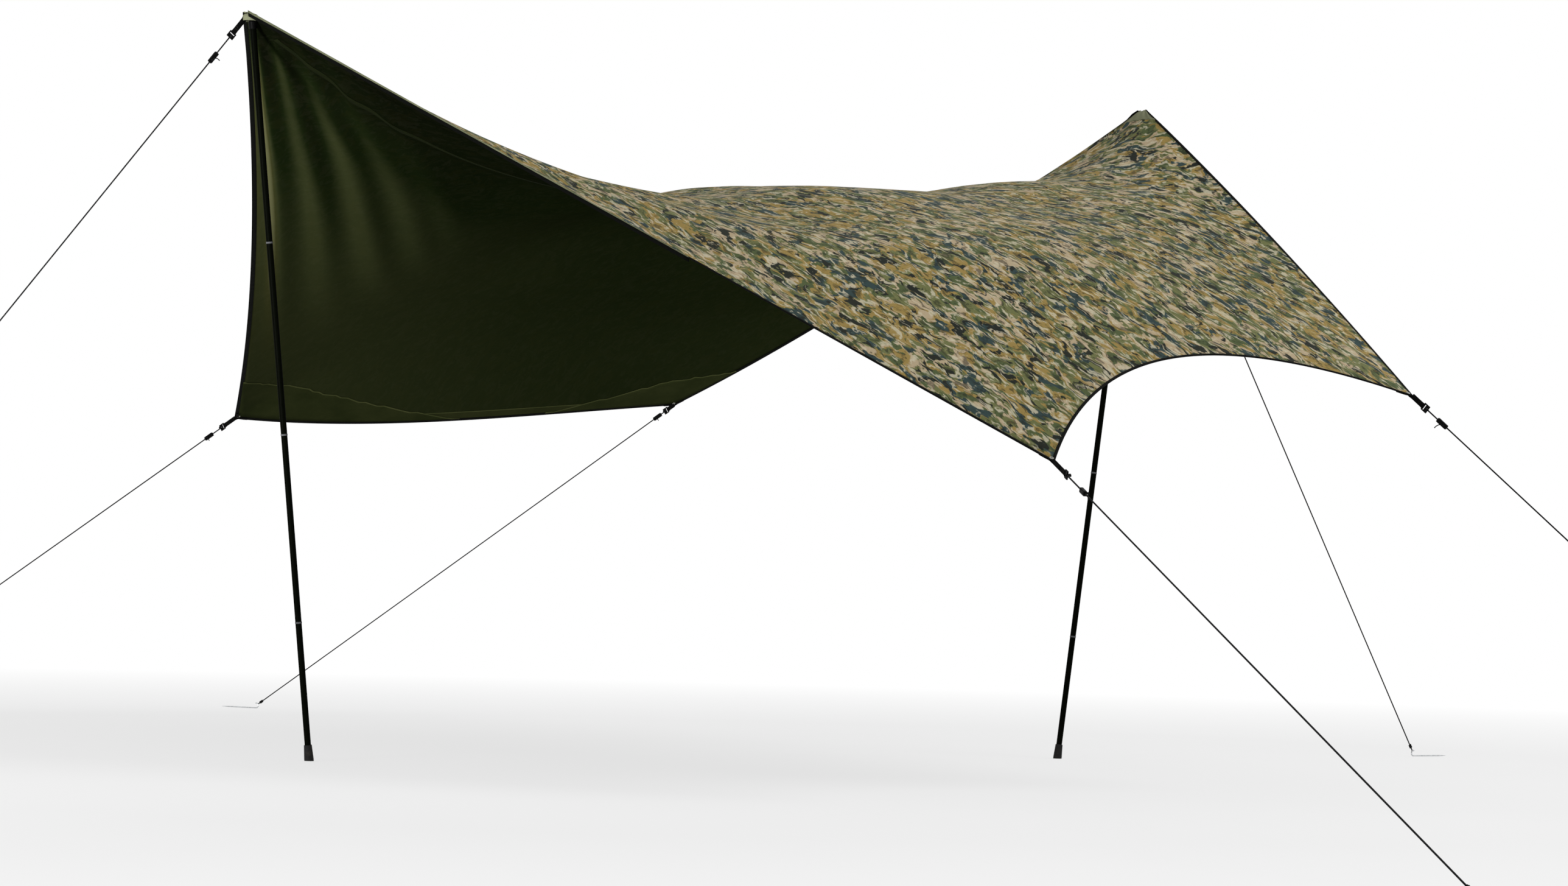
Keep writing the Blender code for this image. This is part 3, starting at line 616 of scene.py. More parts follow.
def relaxed_net():
    """Cloth as a net in balance under its own pull and a light wind load."""
    stations = np.arange(RIBS + 1.0)
    rear = rim_points("rear", stations)
    front = rim_points("front", stations)
    across = ACROSS + 1
    w = np.linspace(0, 1, across)[None, :, None]
    net = rear[:, None, :] * (1 - w) + front[:, None, :] * w
    net[0] = peak_row(PEAK_LEFT, REAR_LEFT, FRONT_LEFT, across)
    net[-1] = peak_row(PEAK_RIGHT, REAR_RIGHT, FRONT_RIGHT, across)
    rib = np.linalg.norm(rear - front, axis=1)
    rib = np.maximum(rib / rib.max(), 0.01)
    rows = RIBS - 1
    cols = across - 2
    count = rows * cols
    pull = np.zeros((count, count))
    fixed = np.zeros((count, 3))
    for i in range(1, RIBS):
        for j in range(1, across - 1):
            a = (i - 1) * cols + j - 1
            ahead = LONG_PULL * ((rib[i] + rib[i + 1]) / 2) ** TAPER_POWER
            back = LONG_PULL * ((rib[i] + rib[i - 1]) / 2) ** TAPER_POWER
            side = 1.0 / rib[i] ** TAPER_POWER
            for di, dj, q in ((1, 0, ahead), (-1, 0, back), (0, 1, side), (0, -1, side)):
                pull[a, a] += q
                ni = i + di
                nj = j + dj
                if 1 <= ni < RIBS and 1 <= nj < across - 1:
                    pull[a, (ni - 1) * cols + nj - 1] -= q
                else:
                    fixed[a] += q * net[ni, nj]
    solver = np.linalg.inv(pull)
    load = np.zeros_like(fixed)
    for _ in range(RELAX_ROUNDS):
        net[1:-1, 1:-1] = (solver @ (fixed + load)).reshape(rows, cols, 3)
        along = net[2:, 1:-1] - net[:-2, 1:-1]
        over = net[1:-1, 2:] - net[1:-1, :-2]
        area = np.cross(over, along) / 4
        area *= np.sign(area[..., 2:3])
        load = WIND_LOAD * area.reshape(count, 3)
    return net


def grid_normals(net):
    along = np.gradient(net, axis=0)
    over = np.gradient(net, axis=1)
    normal = unit(np.cross(over, along))
    return normal * np.sign(normal[..., 2:3])


def grows(share, reach):
    """Rises from 0 at a peak to 1 at its reach and falls again."""
    return (share / reach) * np.exp(1 - share / reach)


def bell(value, at, half):
    return np.exp(-((value - at) / half) ** 2)


def eased(value, low, high):
    t = np.clip((value - low) / (high - low), 0, 1)
    return t * t * (3 - 2 * t)


def folds(s, v):
    """Height of the main tension folds at a share s along and v across."""
    rise = 0.0
    for share, (count, height, reach) in ((s, FOLDS_LEFT), (1 - s, FOLDS_RIGHT)):
        rise = rise + height * grows(share, reach) ** 2 * np.sin(2 * math.pi * count * v)
    return rise


# Folds that fan out beside the rear-left hem: share across times share along to the power of
# FAN, and height
BANDS = (
    (0.0118, -0.0110),
    (0.0295, -0.0080),
    (0.0485, -0.0130),
    (0.0668, -0.0130),
    (0.0825, -0.0080),
)
BAND_HALF = 0.0060
FAN = 0.85
BAND_GROWS = (0.03, 0.11)
BAND_FADES = (0.24, 0.36)

# Share across beside each hem in which bands and creases die away
FLAT_RIM = 0.02

# Where painted highlights lie on the underside beside those folds, and how strong they are
LIT_BANDS = (
    (0.0021, 0.9),
    (0.0079, 1.8),
    (0.0255, 0.60),
    (0.0445, 0.70),
    (0.063, 0.55),
    (0.0786, 0.25),
)
LIT_HALF = 0.032
LIT_GROWS = (0.0, 0.06)
LIT_FADES = (0.16, 0.40)
RIDGE_FADES = (0.26, 0.50)

# The painted light along the low hem, and how much of either painted light fades
LOW_POWER = 1.6
LOW_GROWS = (0.06, 0.32)
LOW_FADES = (0.30, 0.60)
FADED = 0.75

# The painted shade under the left peak and under the front panel
PEAK_SHADE = 0.9
PEAK_SHADE_ALONG = (0.05, 0.34)
PEAK_SHADE_ACROSS = (0.02, 0.22)
FRONT_SHADE = 0.6
FRONT_STARTS = (0.49, 0.51)

# Finer creases: where across, half width across, height, reach along from the peak
CREASES_LEFT = (
    (0.385, 0.018, -0.0035, 0.20),
    (0.460, 0.016, 0.0030, 0.18),
    (0.560, 0.022, 0.0035, 0.18),
    (0.700, 0.024, -0.0035, 0.20),
    (0.830, 0.020, 0.0040, 0.20),
    (0.930, 0.016, -0.0035, 0.22),
)
CREASES_RIGHT = (
    (0.060, 0.014, 0.0030, 0.16),
    (0.180, 0.016, -0.0030, 0.18),
    (0.340, 0.018, 0.0030, 0.14),
    (0.660, 0.018, 0.0030, 0.14),
    (0.820, 0.014, -0.0035, 0.18),
    (0.930, 0.012, 0.0035, 0.20),
)


def creases(s, v):
    rise = 0.0
    for share, rows in ((s, CREASES_LEFT), (1 - s, CREASES_RIGHT)):
        for at, half, height, reach in rows:
            rise = rise + height * grows(share, reach) ** 2 * bell(v, at, half)
    return rise


def bands(s, v):
    rise = 0.0
    for at, height in BANDS:
        rise = rise + height * bell(v * s ** FAN, at, BAND_HALF)
    return rise * eased(s, *BAND_GROWS) * (1 - eased(s, *BAND_FADES))


def ridge_lie(s, v):
    """Where the cloth hangs below or stands above the balanced net."""
    lie = 0.0
    for share, (height, reach) in ((s, RIDGE_RISE_LEFT), (1 - s, RIDGE_RISE_RIGHT)):
        near = (share / reach) ** 2
        lie = lie + height * near * np.exp(1 - near)
    for height, at, reach in (RIDGE_SAG, RIDGE_SWELL):
        lie = lie + height * bell(s, at, reach)
    return lie * np.sin(math.pi * v)


def shares(net):
    """Share along the ridge from the left peak, and across from the rear hem."""
    return np.linspace(0, 1, net.shape[0])[:, None], np.linspace(0, 1, net.shape[1])


def folded(net, fine):
    """The net with its folds; creases and bands are only in the fine one."""
    normal = grid_normals(net)
    s, v = shares(net)
    rise = folds(s, v)
    if fine:
        edge = np.clip(np.minimum(v, 1 - v) / FLAT_RIM, 0, 1)
        rise = rise + (creases(s, v) + bands(s, v)) * edge
    out = net + rise[..., None] * normal
    out[..., 2] += ridge_lie(s, v)
    for row, near, peak in ((0, 1, PEAK_LEFT), (-1, -2, PEAK_RIGHT)):
        out[row] = np.array(peak) + PEAK_CUT * unit(out[near] - np.array(peak))
    return out


def spline(values, stations):
    """Natural cubic spline through values[0], values[1] and so on."""
    n = len(values)
    flat = values.reshape(n, -1)
    system = np.eye(n)
    right = np.zeros_like(flat)
    for k in range(1, n - 1):
        system[k, k - 1:k + 2] = (1.0, 4.0, 1.0)
        right[k] = 6 * (flat[k + 1] - 2 * flat[k] + flat[k - 1])
    bend = np.linalg.solve(system, right)
    k = np.clip(np.floor(stations).astype(int), 0, n - 2)
    b = (stations - k)[:, None]
    a = 1 - b
    out = a * flat[k] + b * flat[k + 1] + ((a ** 3 - a) * bend[k] + (b ** 3 - b) * bend[k + 1]) / 6
    return out.reshape((len(stations),) + values.shape[1:])


COARSE = relaxed_net()


def fine_sheet():
    along = np.linspace(0, RIBS, RIBS * FINE_ALONG + 1)
    over = np.linspace(0, ACROSS, ACROSS * FINE_OVER + 1)
    net = spline(COARSE, along)
    for column, side in ((0, "rear"), (-1, "front")):
        rim = rim_points(side, along)
        for end, step in ((0, 1), (-1, -1)):
            for k in range(FINE_ALONG):
                w = k / FINE_ALONG
                inner = rim[end + step * FINE_ALONG]
                rim[end + step * k] = (1 - w) * COARSE[end, column] + w * inner
        net[:, column] = rim
    net = spline(np.swapaxes(net, 0, 1), over)
    return folded(np.swapaxes(net, 0, 1), True)


SHEET_NET = fine_sheet()
SHEET_UP = grid_normals(SHEET_NET)
FINE_ROWS, FINE_COLS = SHEET_NET.shape[:2]
FINE_LEFT = RIB_LEFT_CORNER * FINE_ALONG
FINE_RIGHT = RIB_RIGHT_CORNER * FINE_ALONG
FINE_RIDGE = PANEL_STRIPS * FINE_OVER
FRONT_RIM = FINE_COLS - 1
LAST_ROW = FINE_ROWS - 1


def painted_underside_light_and_shade(s, v):
    """Painted light and shade of the underside: -1 painted shade, 0 the dark coating, 1 painted light
    from the low hem, 2 a painted fold highlight, 3 its painted glint.
    """
    lit = 0.0
    # lit is painted highlight along the folds, low is painted light along the low hem, shade is painted
    # shade
    for at, share in LIT_BANDS:
        lit = lit + share * bell(v * s ** FAN, at, LIT_HALF * at ** 0.5)
    lit = lit * eased(s, *LIT_GROWS) * (1 - eased(s, *LIT_FADES))
    lit = lit * (1 - FADED * eased(v, *RIDGE_FADES))
    low = np.clip(1 - 2 * v, 0, 1) ** LOW_POWER
    low = low * eased(s, *LOW_GROWS) * (1 - FADED * eased(s, *LOW_FADES))
    peak = PEAK_SHADE * (1 - eased(s, *PEAK_SHADE_ALONG)) * eased(v, *PEAK_SHADE_ACROSS)
    shade = np.maximum(peak, FRONT_SHADE * eased(v, *FRONT_STARTS))
    return (low - shade) + np.minimum(lit, 1.0) * (2 - low + 0.5 * shade) + np.maximum(lit - 1, 0)


def print_lay(net):
    """Along the ridge, down the slope, and the painted light and shade of the underside."""
    step = np.linalg.norm(np.diff(net[:, :, 1:], axis=1), axis=2)
    down = np.concatenate([np.zeros((net.shape[0], 1)), np.cumsum(step, axis=1)], axis=1)
    down -= down[:, FINE_RIDGE:FINE_RIDGE + 1]
    return np.stack([net[:, :, 0], down, painted_underside_light_and_shade(*shares(net))], axis=2)


def shell(name, net, up, thickness, skins, lay):
    """A cloth shell around a net: top face, underside and closed rims."""
    rows, cols = net.shape[:2]
    top = (net + up * thickness / 2).reshape(-1, 3)
    low = (net - up * thickness / 2).reshape(-1, 3)
    count = len(top)
    index = np.arange(count).reshape(rows, cols)
    a = index[:-1, :-1].ravel()
    faces = np.stack([a, a + 1, a + cols + 1, a + cols], axis=1)
    rim = np.concatenate([index[:, 0], index[-1, 1:], index[-2::-1, -1], index[0, -2:0:-1]])
    ahead = np.roll(rim, -1)
    walls = np.stack([rim, ahead, ahead + count, rim + count], axis=1)
    quads = np.vstack([faces, faces[:, ::-1] + count, walls])
    which = np.repeat([0, len(skins) - 1, 0], [len(faces), len(faces), len(walls)])
    lay = np.vstack([lay.reshape(-1, 3)] * 2)
    return piece(name, np.vstack([top, low]), quads, skins, lay, which)


def spread(net):
    """Length and width of the box that the flat cloth is cut from."""
    length = run_lengths(net[:, FINE_RIDGE])[-1]
    width = max(run_lengths(net[i])[-1] for i in range(0, FINE_ROWS, FINE_ALONG))
    return length, width


LAY = print_lay(SHEET_NET)
canopy = shell("canopy_cloth", SHEET_NET, SHEET_UP, SHEET, [CAMO, UNDERSIDE], LAY)
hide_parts("rear_panel", "front_panel")


# Corners
def solid_net():
    """The coarse net with the rows that it has in the solids, for what sits at the corners."""
    net = folded(COARSE, False)
    left = [(1 - share) * net[0] + share * net[1] for share in PEAK_ROWS]
    right = [(1 - share) * net[-1] + share * net[-2] for share in reversed(PEAK_ROWS)]
    return np.array([net[0], *left, *net[1:-1], *right, net[-1]])


NET = solid_net()
PEAK_END = len(PEAK_ROWS)
LAST_RIB = RIBS + 2 * PEAK_END
LEFT_CORNER = RIB_LEFT_CORNER + PEAK_END
RIGHT_CORNER = RIB_RIGHT_CORNER + PEAK_END

# Rib and strip of each corner in that net
CORNERS = {
    "peak_left": (0, PANEL_STRIPS),
    "peak_right": (LAST_RIB, PANEL_STRIPS),
    "rear_left": (LEFT_CORNER, 0),
    "rear_right": (RIGHT_CORNER, 0),
    "front_left": (LEFT_CORNER, ACROSS),
    "front_right": (RIGHT_CORNER, ACROSS),
}
NEAR_CLOTH = np.linspace(0.0, 0.03, 61)


def cloth_near(i, j):
    """Points of the cloth near a corner."""
    if i in (0, LAST_RIB):
        found = list(NET[i])
        near = [NET[abs(i - 1), j], NET[abs(i - 2), j]]
    else:
        found = [NET[i, j]]
        near = [NET[i - 1, j], NET[i + 1, j]]
    for point in near:
        way = unit(point - NET[i, j])
        found += [NET[i, j] + way * d for d in NEAR_CLOTH]
    return np.array(found)


def strap_start(name, way, wide):
    """How far out a strap begins, clear of the cloth."""
    corner = CORNERS[name]
    away = cloth_near(*corner) - NET[corner]
    in_width = np.abs(away @ wide) < STRAP_WIDTH / 2 + STRAP_CLEAR
    in_thickness = np.abs(away @ np.cross(way, wide)) < STRAP / 2 + STRAP_CLEAR
    return (away @ way)[in_width & in_thickness].max() + KITS[name].gap


def corner_line(name):
    """Start, peg point, direction and width direction of a guyline, and where its strap begins."""
    start = NET[CORNERS[name]]
    target = np.array([*KITS[name].peg, PEG_RISE])
    way = unit(target - start)
    side = unit(np.cross(way, UP))
    wide = unit(np.cross(side, way))
    return start, target, way, wide, strap_start(name, way, wide)


# Guylines; each knot has its radius as a share of the cord's, its turns and its pitch
COIL_STEPS = 14
KNOT_TOP = (1.3, 2.5, 0.0026)
KNOT_PEG = (1.75, 4.0, 0.0031)
STOPPER = (0.9, 1.6, 0.0028)


def coil(centre, way, side, knot):
    """Points of a tight coil round a line, for knots."""
    share, turns, pitch = knot
    up = np.cross(way, side)
    angle = np.linspace(0, 2 * math.pi * turns, int(COIL_STEPS * turns) + 1)
    shift = (np.linspace(-0.5, 0.5, len(angle)) * pitch * turns)[:, None]
    ring = np.cos(angle)[:, None] * side + np.sin(angle)[:, None] * up
    return centre + shift * way + CORD_RADIUS * share * ring


# Half of the loop that ties a guyline to its buckle: along from the buckle's end, and above it
EYE_LOOP = (
    (0.0018, 0.0010),
    (0.0016, 0.0026),
    (0.0004, 0.0038),
    (-0.0012, 0.0041),
    (-0.0035, 0.0034),
    (-0.0050, 0.0018),
    (-0.0054, 0.0),
)
EYE_KNOT = (-0.0053, 0.0062)
PEG_KNOT_BACK = 0.016
TAIL_STEPS = 16
TAIL_KNOT_RISE = 0.0035
TAIL_OUT = 0.010
TAIL_DROP = 0.024


def guyline(name):
    start, target, way, wide, _ = corner_line(name)
    reach = np.linalg.norm(target - start)
    first = KITS[name].strap + 2 * FIT_GAP + BUCKLE_LENGTH
    last = reach - PEG_HOOK - PEG_WIRE - FIT_GAP
    dense = [start + way * d for d in np.linspace(first, last, CORD_STEPS)]
    cord = round_tube("cord_" + name, dense, CORD_RADIUS, CORD)
    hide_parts("guyline_" + name)
    up = np.cross(way, wide)
    up = -up * np.sign(up[1])

    strand = [(d, h) for d, h in EYE_LOOP] + [(d, -h) for d, h in EYE_LOOP[-2::-1]]
    strand = np.array([start + way * (first + d) + up * h for d, h in strand])
    strand = spline(strand, np.linspace(0, len(strand) - 1, 6 * len(strand)))
    over_eye = start + way * (first + EYE_KNOT[0]) + up * EYE_KNOT[1]
    at_peg = start + way * (last - PEG_KNOT_BACK)
    hole = start + way * (KITS[name].tensioner + TAIL_HOLE_AT)
    top = hole + up * (TENSIONER_HEIGHT / 2 + TAIL_KNOT_RISE)
    t = np.linspace(0, 1, TAIL_STEPS)[:, None]
    tail = top + way * (TAIL_LEAN * t) + up * (TAIL_OUT * t) - UP * (TAIL_DROP * t ** 2)
    slider = "tensioner_" + name
    for tag, points, share, body in (
        ("loop_", strand, 0.65, "canopy"),
        ("knot_top_", coil(over_eye, up, wide, KNOT_TOP), 0.8, "canopy"),
        ("knot_peg_", coil(at_peg, way, wide, KNOT_PEG), 0.8, "canopy"),
        ("stopper_", coil(top, up, wide, STOPPER), 0.7, slider),
        ("tail_", tail, 0.7, slider),
    ):
        round_tube(tag + name, points, CORD_RADIUS * share, CORD, 8, body)


for corner_name in CORNERS:
    guyline(corner_name)


# Canopy trim
HEM_RUNS = {
    "rear_left": (0, 0, FINE_LEFT),
    "rear": (0, FINE_LEFT, FINE_RIGHT),
    "rear_right": (0, FINE_RIGHT, LAST_ROW),
    "front_left": (FRONT_RIM, 0, FINE_LEFT),
    "front": (FRONT_RIM, FINE_LEFT, FINE_RIGHT),
    "front_right": (FRONT_RIM, FINE_RIGHT, LAST_ROW),
}


def hem_profile():
    """Section of the hem tape as (outward, up), from the top face round the rim and inside again."""
    h = BINDING_HALF
    o = BINDING_OUT
    inside = SHEET / 2 + HEM_CLEAR
    return [
        (-BINDING_OVER, h * 0.75),
        (-BINDING_OVER * 0.5, h * 0.92),
        (0.0, h),
        (o * 0.6, h * 0.9),
        (o * 0.92, h * 0.5),
        (o, 0.0),
        (o * 0.92, -h * 0.5),
        (o * 0.6, -h * 0.9),
        (0.0, -h),
        (-BINDING_UNDER * 0.5, -h * 0.92),
        (-BINDING_UNDER, -h * 0.75),
        (-BINDING_UNDER, -inside),
        (HEM_FOLD, -inside),
        (HEM_FOLD, inside),
        (-BINDING_OVER, inside),
    ]


def rim_frame(edge, first, last):
    """Rim points of a hem with outward and upward directions."""
    inner = 1 if edge == 0 else edge - 1
    rim = SHEET_NET[first:last + 1, edge]
    up = SHEET_UP[first:last + 1, edge]
    out = unit(np.cross(up, unit(np.gradient(rim, axis=0))))
    toward = np.sum(out * (rim - SHEET_NET[first:last + 1, inner]), axis=1, keepdims=True)
    return rim, out * np.sign(toward), up


def hem_tape(name):
    """Tape folded over the rim."""
    rim, out, up = rim_frame(*HEM_RUNS[name])
    points, faces, lay = carried(rim, out, up, hem_profile())
    tape = piece("hem_" + name, points, faces, [HEM], lay)
    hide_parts("binding_" + name)


for hem_name in HEM_RUNS:
    hem_tape(hem_name)


# Peak caps, with the shares at which rows fill the way to the tip
CAP_ROWS = 5
CAP_RISE = SHEET / 2 + 0.0006
CAP_THICK = 0.0008
CAP_FILL = (0.85, 0.60, 0.30)


def cap(name, inwards, peak, reach):
    """Canvas cap over the blunt end of a peak, drawn out to a point."""
    net = SHEET_NET[::inwards][:CAP_ROWS]
    up = SHEET_UP[::inwards][:CAP_ROWS]
    lay = LAY[::inwards][:CAP_ROWS]
    face = net + up * CAP_RISE
    tip = np.array(peak) + UP * CAP_RISE
    point = [(1 - share * reach) * face[0] + share * reach * tip for share in CAP_FILL]
    grid = np.concatenate([point, face])
    ways = np.concatenate([[up[0]] * len(CAP_FILL), up])
    lay = np.concatenate([[lay[0] + (share * reach * PEAK_CUT, 0.0, 0.0) for share in CAP_FILL], lay])
    obj = shell(name, grid, ways, CAP_THICK, [CAP], lay)
    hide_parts(name)


# The hood's section, as shares of its radius and heights in metres
HAT_OUTSIDE = (
    (1.0, -0.012),
    (1.0, -0.006),
    (0.97, -0.001),
    (0.87, 0.004),
    (0.68, 0.0075),
    (0.40, 0.0098),
    (0.02, 0.011),
)
HAT_INSIDE = (
    (0.02, 0.0102),
    (0.40, 0.0090),
    (0.66, 0.0067),
    (0.83, 0.0033),
    (0.92, -0.0013),
    (0.95, -0.006),
    (0.95, -0.012),
)
HAT_LONG = 0.024
HAT_WIDE = 0.023
HAT_BACK = 0.022
HAT_DROP = 0.021
HAT_STEPS = 40


def hat(name):
    """Small rounded hood of cap canvas over the tip of the left peak."""
    out = unit((SHEET_NET[0, FINE_RIDGE] - SHEET_NET[1, FINE_RIDGE]) * (1.0, 1.0, 0.0))
    side = np.cross(UP, out)
    centre = np.array(PEAK_LEFT) - out * HAT_BACK - UP * HAT_DROP
    profile = HAT_OUTSIDE + HAT_INSIDE
    points, faces = turned(centre, HAT_LONG * out, HAT_WIDE * side, UP, profile, HAT_STEPS)
    round_it = np.linspace(0, 2 * math.pi, HAT_STEPS, endpoint=False)
    lay = [(a * HAT_WIDE, z, 0.0) for a in round_it for _, z in profile]
    piece(name, points, faces, [CAP], lay)


STRIP_ROWS = 56
STRIP_SHARES = np.linspace(0, 1, 5)


def hanging_strip(name, top, heights, out_by, skin):
    """Narrow strip that hangs beside the front rim near the left peak."""
    rim, out, _ = rim_frame(FRONT_RIM, 0, STRIP_ROWS)
    level = unit(out * (1.0, 1.0, 0.0))
    drop = np.linspace(heights[0], heights[1], len(rim))[:, None] * STRIP_SHARES
    net = (rim + level * out_by)[:, None] + UP * (top - drop)[..., None]
    length = run_lengths(rim)[:, None] + np.zeros_like(drop)
    lay = np.stack([length, drop, np.zeros_like(drop)], axis=2)
    ways = np.repeat(level[:, None], len(STRIP_SHARES), axis=1)
    shell(name, net, ways, CAP_THICK, [skin], lay)


cap("peak_cap_left", 1, PEAK_LEFT, 0.2)
cap("peak_cap_right", -1, PEAK_RIGHT, 0.3)
hat("peak_hood_left")
hanging_strip("rolled_edge", 0.0030, (0.0065, 0.0020), 0.0040, EDGE)
hanging_strip("hem_drop", -0.0015, (0.0120, 0.0100), 0.0010, HEM)


# Patches and facings; depths in cells are counted from the rim
PATCH_ON_LONG_HEM = 0.30
PATCH_BOW = 0.030
PATCH_STRIPS = 8
PATCH_DROP = 0.0011
PATCH_THICK = 0.0008
PATCH_BORDER = (0.006, 0.0008)
BORDER_DROP = 0.0006
DEEPEST = 60
SHALLOWEST = 0.3
FACING_WIDTHS = {"front_left": 0.024, "rear": 0.045}
FACING_DROP = 0.0005
FACING_THICK = 0.0004
FACING_ROOM = 2.5
FACING_BORDER = (0.004, 0.0006)
RIDGE_TAPE = (0.030, 0.0008)
RIDGE_TAPE_DROP = SHEET / 2 + 0.0009
RIDGE_SEAM = (0.010, 0.0010)
RIDGE_SEAM_RISE = SHEET / 2 + 0.0003
RIM_CELLS = 0.25


def row_at(net, i, columns):
    low = np.clip(np.floor(columns).astype(int), 0, FINE_COLS - 2)
    t = (columns - low)[:, None]
    return (1 - t) * net[i, low] + t * net[i, low + 1]


def cells_to(edge, corner, step, distance):
    """How many cells along a hem make up a distance from its corner."""
    rim = SHEET_NET[corner::step, edge]
    return int(np.searchsorted(run_lengths(rim), distance))


def under_strip(edge, spans):
    """Points, normals and lay of a strip beside a hem; spans are (row, depth in cells)."""
    rows = []
    for i, deep in spans:
        stations = np.linspace(RIM_CELLS, deep, PATCH_STRIPS + 1)
        stations = stations if edge == 0 else FRONT_RIM - stations
        rows.append([row_at(grid, i, stations) for grid in (SHEET_NET, SHEET_UP, LAY)])
    net, up, lay = np.swapaxes(rows, 0, 1)
    return net, unit(up), lay


def facing(name, width):
    """Wide inner hem on the underside, with its bound border."""
    edge, first, last = HEM_RUNS[name]
    spans = []
    for i in range(first, last + 1):
        line = SHEET_NET[i] if edge == 0 else SHEET_NET[i, ::-1]
        length = run_lengths(line[:FINE_RIDGE])
        if length[-1] > FACING_ROOM * width:
            spans.append((i, np.interp(width, length, np.arange(FINE_RIDGE))))
    net, up, lay = under_strip(edge, spans)
    net = net - up * (SHEET / 2 + FACING_DROP)
    shell("facing_" + name, net, up, FACING_THICK, [FACING], lay)
    border = net[:, -1] - up[:, -1] * FACING_THICK
    across = net[:, -1] - net[:, -2]
    section = tape_profile(*FACING_BORDER)
    flat_band("facing_seam_" + name, border, across, section, SEAM)


def corner_patch(name, edge, corner, to_short, on_short):
    """Three-cornered reinforcement under a low corner, on_short metres along its short hem."""
    far = corner + to_short * cells_to(edge, corner, to_short, on_short)
    near = corner - to_short * cells_to(edge, corner, -to_short, PATCH_ON_LONG_HEM)
    a = SHEET_NET[near, edge]
    b = SHEET_NET[far, edge]
    chord = unit(b - a)
    across = unit(np.cross(chord, SHEET_UP[corner, edge]))
    across = across * np.sign(across @ (SHEET_NET[corner, edge] - a))
    depth = np.linspace(0, DEEPEST, 4 * DEEPEST + 1)
    columns = depth if edge == 0 else FRONT_RIM - depth
    spans = []
    for i in range(near, far + to_short, to_short):
        line = row_at(SHEET_NET, i, columns)
        ahead = np.clip((line - a) @ chord / np.linalg.norm(b - a), 0, 1)
        bow = PATCH_BOW * 4 * ahead * (1 - ahead)
        beyond = (line - a) @ across < bow
        last = depth[np.argmax(beyond)] if beyond.any() else 0.0
        spans.append((i, max(last, SHALLOWEST)))
    net, up, lay = under_strip(edge, spans)
    net = net - up * (SHEET / 2 + PATCH_DROP)
    obj = shell(name, net, up, PATCH_THICK, [PATCH], lay)
    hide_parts(name)
    border = net[:, -1] - up[:, -1] * BORDER_DROP
    flat_band("seam_" + name, border, across, tape_profile(*PATCH_BORDER), SEAM)


# Rim and row of each low corner, the way to its short hem and the patch's length along that
LOW_CORNERS = (
    ("rear_left", 0, FINE_LEFT, 1, 0.86),
    ("rear_right", 0, FINE_RIGHT, -1, 0.50),
    ("front_left", FRONT_RIM, FINE_LEFT, 1, 0.50),
    ("front_right", FRONT_RIM, FINE_RIGHT, -1, 0.50),
)
for corner_name, *place in LOW_CORNERS:
    corner_patch("patch_" + corner_name, *place)
for hem_name, facing_width in FACING_WIDTHS.items():
    facing(hem_name, facing_width)

between_peaks = slice(FINE_ALONG, FINE_ROWS - FINE_ALONG)
ridge = SHEET_NET[between_peaks, FINE_RIDGE]
ridge_up = SHEET_UP[between_peaks, FINE_RIDGE]
ridge_side = SHEET_NET[between_peaks, FINE_RIDGE + 2] - SHEET_NET[between_peaks, FINE_RIDGE - 2]
under = ridge - ridge_up * RIDGE_TAPE_DROP
over = ridge + ridge_up * RIDGE_SEAM_RISE
section = tape_profile(*RIDGE_TAPE)
tape = flat_band("ridge_tape_strip", under, ridge_side, section, TAPE)
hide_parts("ridge_tape")
flat_band("ridge_seam", over, ridge_side, tape_profile(*RIDGE_SEAM), CAMO)


# Straps
TACK_ROWS = 9
TACK_STEP = 0.0011
TACK_THREAD = 0.00035
TACK_WIDTH = STRAP_WIDTH * 0.72
TACK_RISE = 0.0006
TACK_ROOM = (0.004, 0.006)
TACKS_AT = (0.010, 0.014)

# The strap opens towards its buckle, passes over the bar and turns back in the slot: along
# from the strap's end, and above its middle
STRAP_LAYER = STRAP * 0.26
STRAP_PARTS = 0.0090
BAR_TURN = (
    (-0.0070, 0.0006),
    (-0.0040, 0.0014),
    (-0.0015, 0.0023),
    (0.0005, 0.0026),
    (0.0025, 0.0026),
    (0.0038, 0.0022),
    (0.0047, 0.0012),
    (0.0050, 0.0),
)


def bar_tack(name, centre, way, wide, up):
    """A block of close zigzag stitches across a strap."""
    points = []
    for k in range(TACK_ROWS):
        side = TACK_WIDTH / 2 if k % 2 == 0 else -TACK_WIDTH / 2
        points.append(centre + way * (k - TACK_ROWS / 2) * TACK_STEP + wide * side)
    round_tube(name, points, TACK_THREAD, THREAD, 6, hint=up)


def strap(name):
    """Webbing doubled over the bar of a buckle, with a bar tack near each end on both faces."""
    start, _, way, wide, begin = corner_line(name)
    end = KITS[name].strap
    up = np.cross(way, wide)
    up = up * np.sign(up[2]) if abs(up[2]) > 1e-6 else up
    layer = [(d, STRAP_LAYER) for d in np.linspace(begin, end - STRAP_PARTS, 9)]
    layer += [(end + d, h) for d, h in BAR_TURN]
    path = [start + way * d + up * h for d, h in layer]
    path += [start + way * d - up * h for d, h in layer[-2::-1]]
    section = tape_profile(STRAP_WIDTH * 0.96, 0.0008)
    band = flat_band("webbing_" + name, path, wide, section, WEBBING)
    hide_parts("strap_" + name)
    for k, d in enumerate((begin + TACKS_AT[0], end - TACKS_AT[1])):
        if begin + TACK_ROOM[0] <= d <= end - TACK_ROOM[1]:
            for face, sign in (("top", 1.0), ("low", -1.0)):
                centre = start + way * d + up * sign * (STRAP_LAYER + TACK_RISE)
                bar_tack("tack_%s_%d_%s" % (face, k, name), centre, way, wide, up)


for corner_name in CORNERS:
    strap(corner_name)


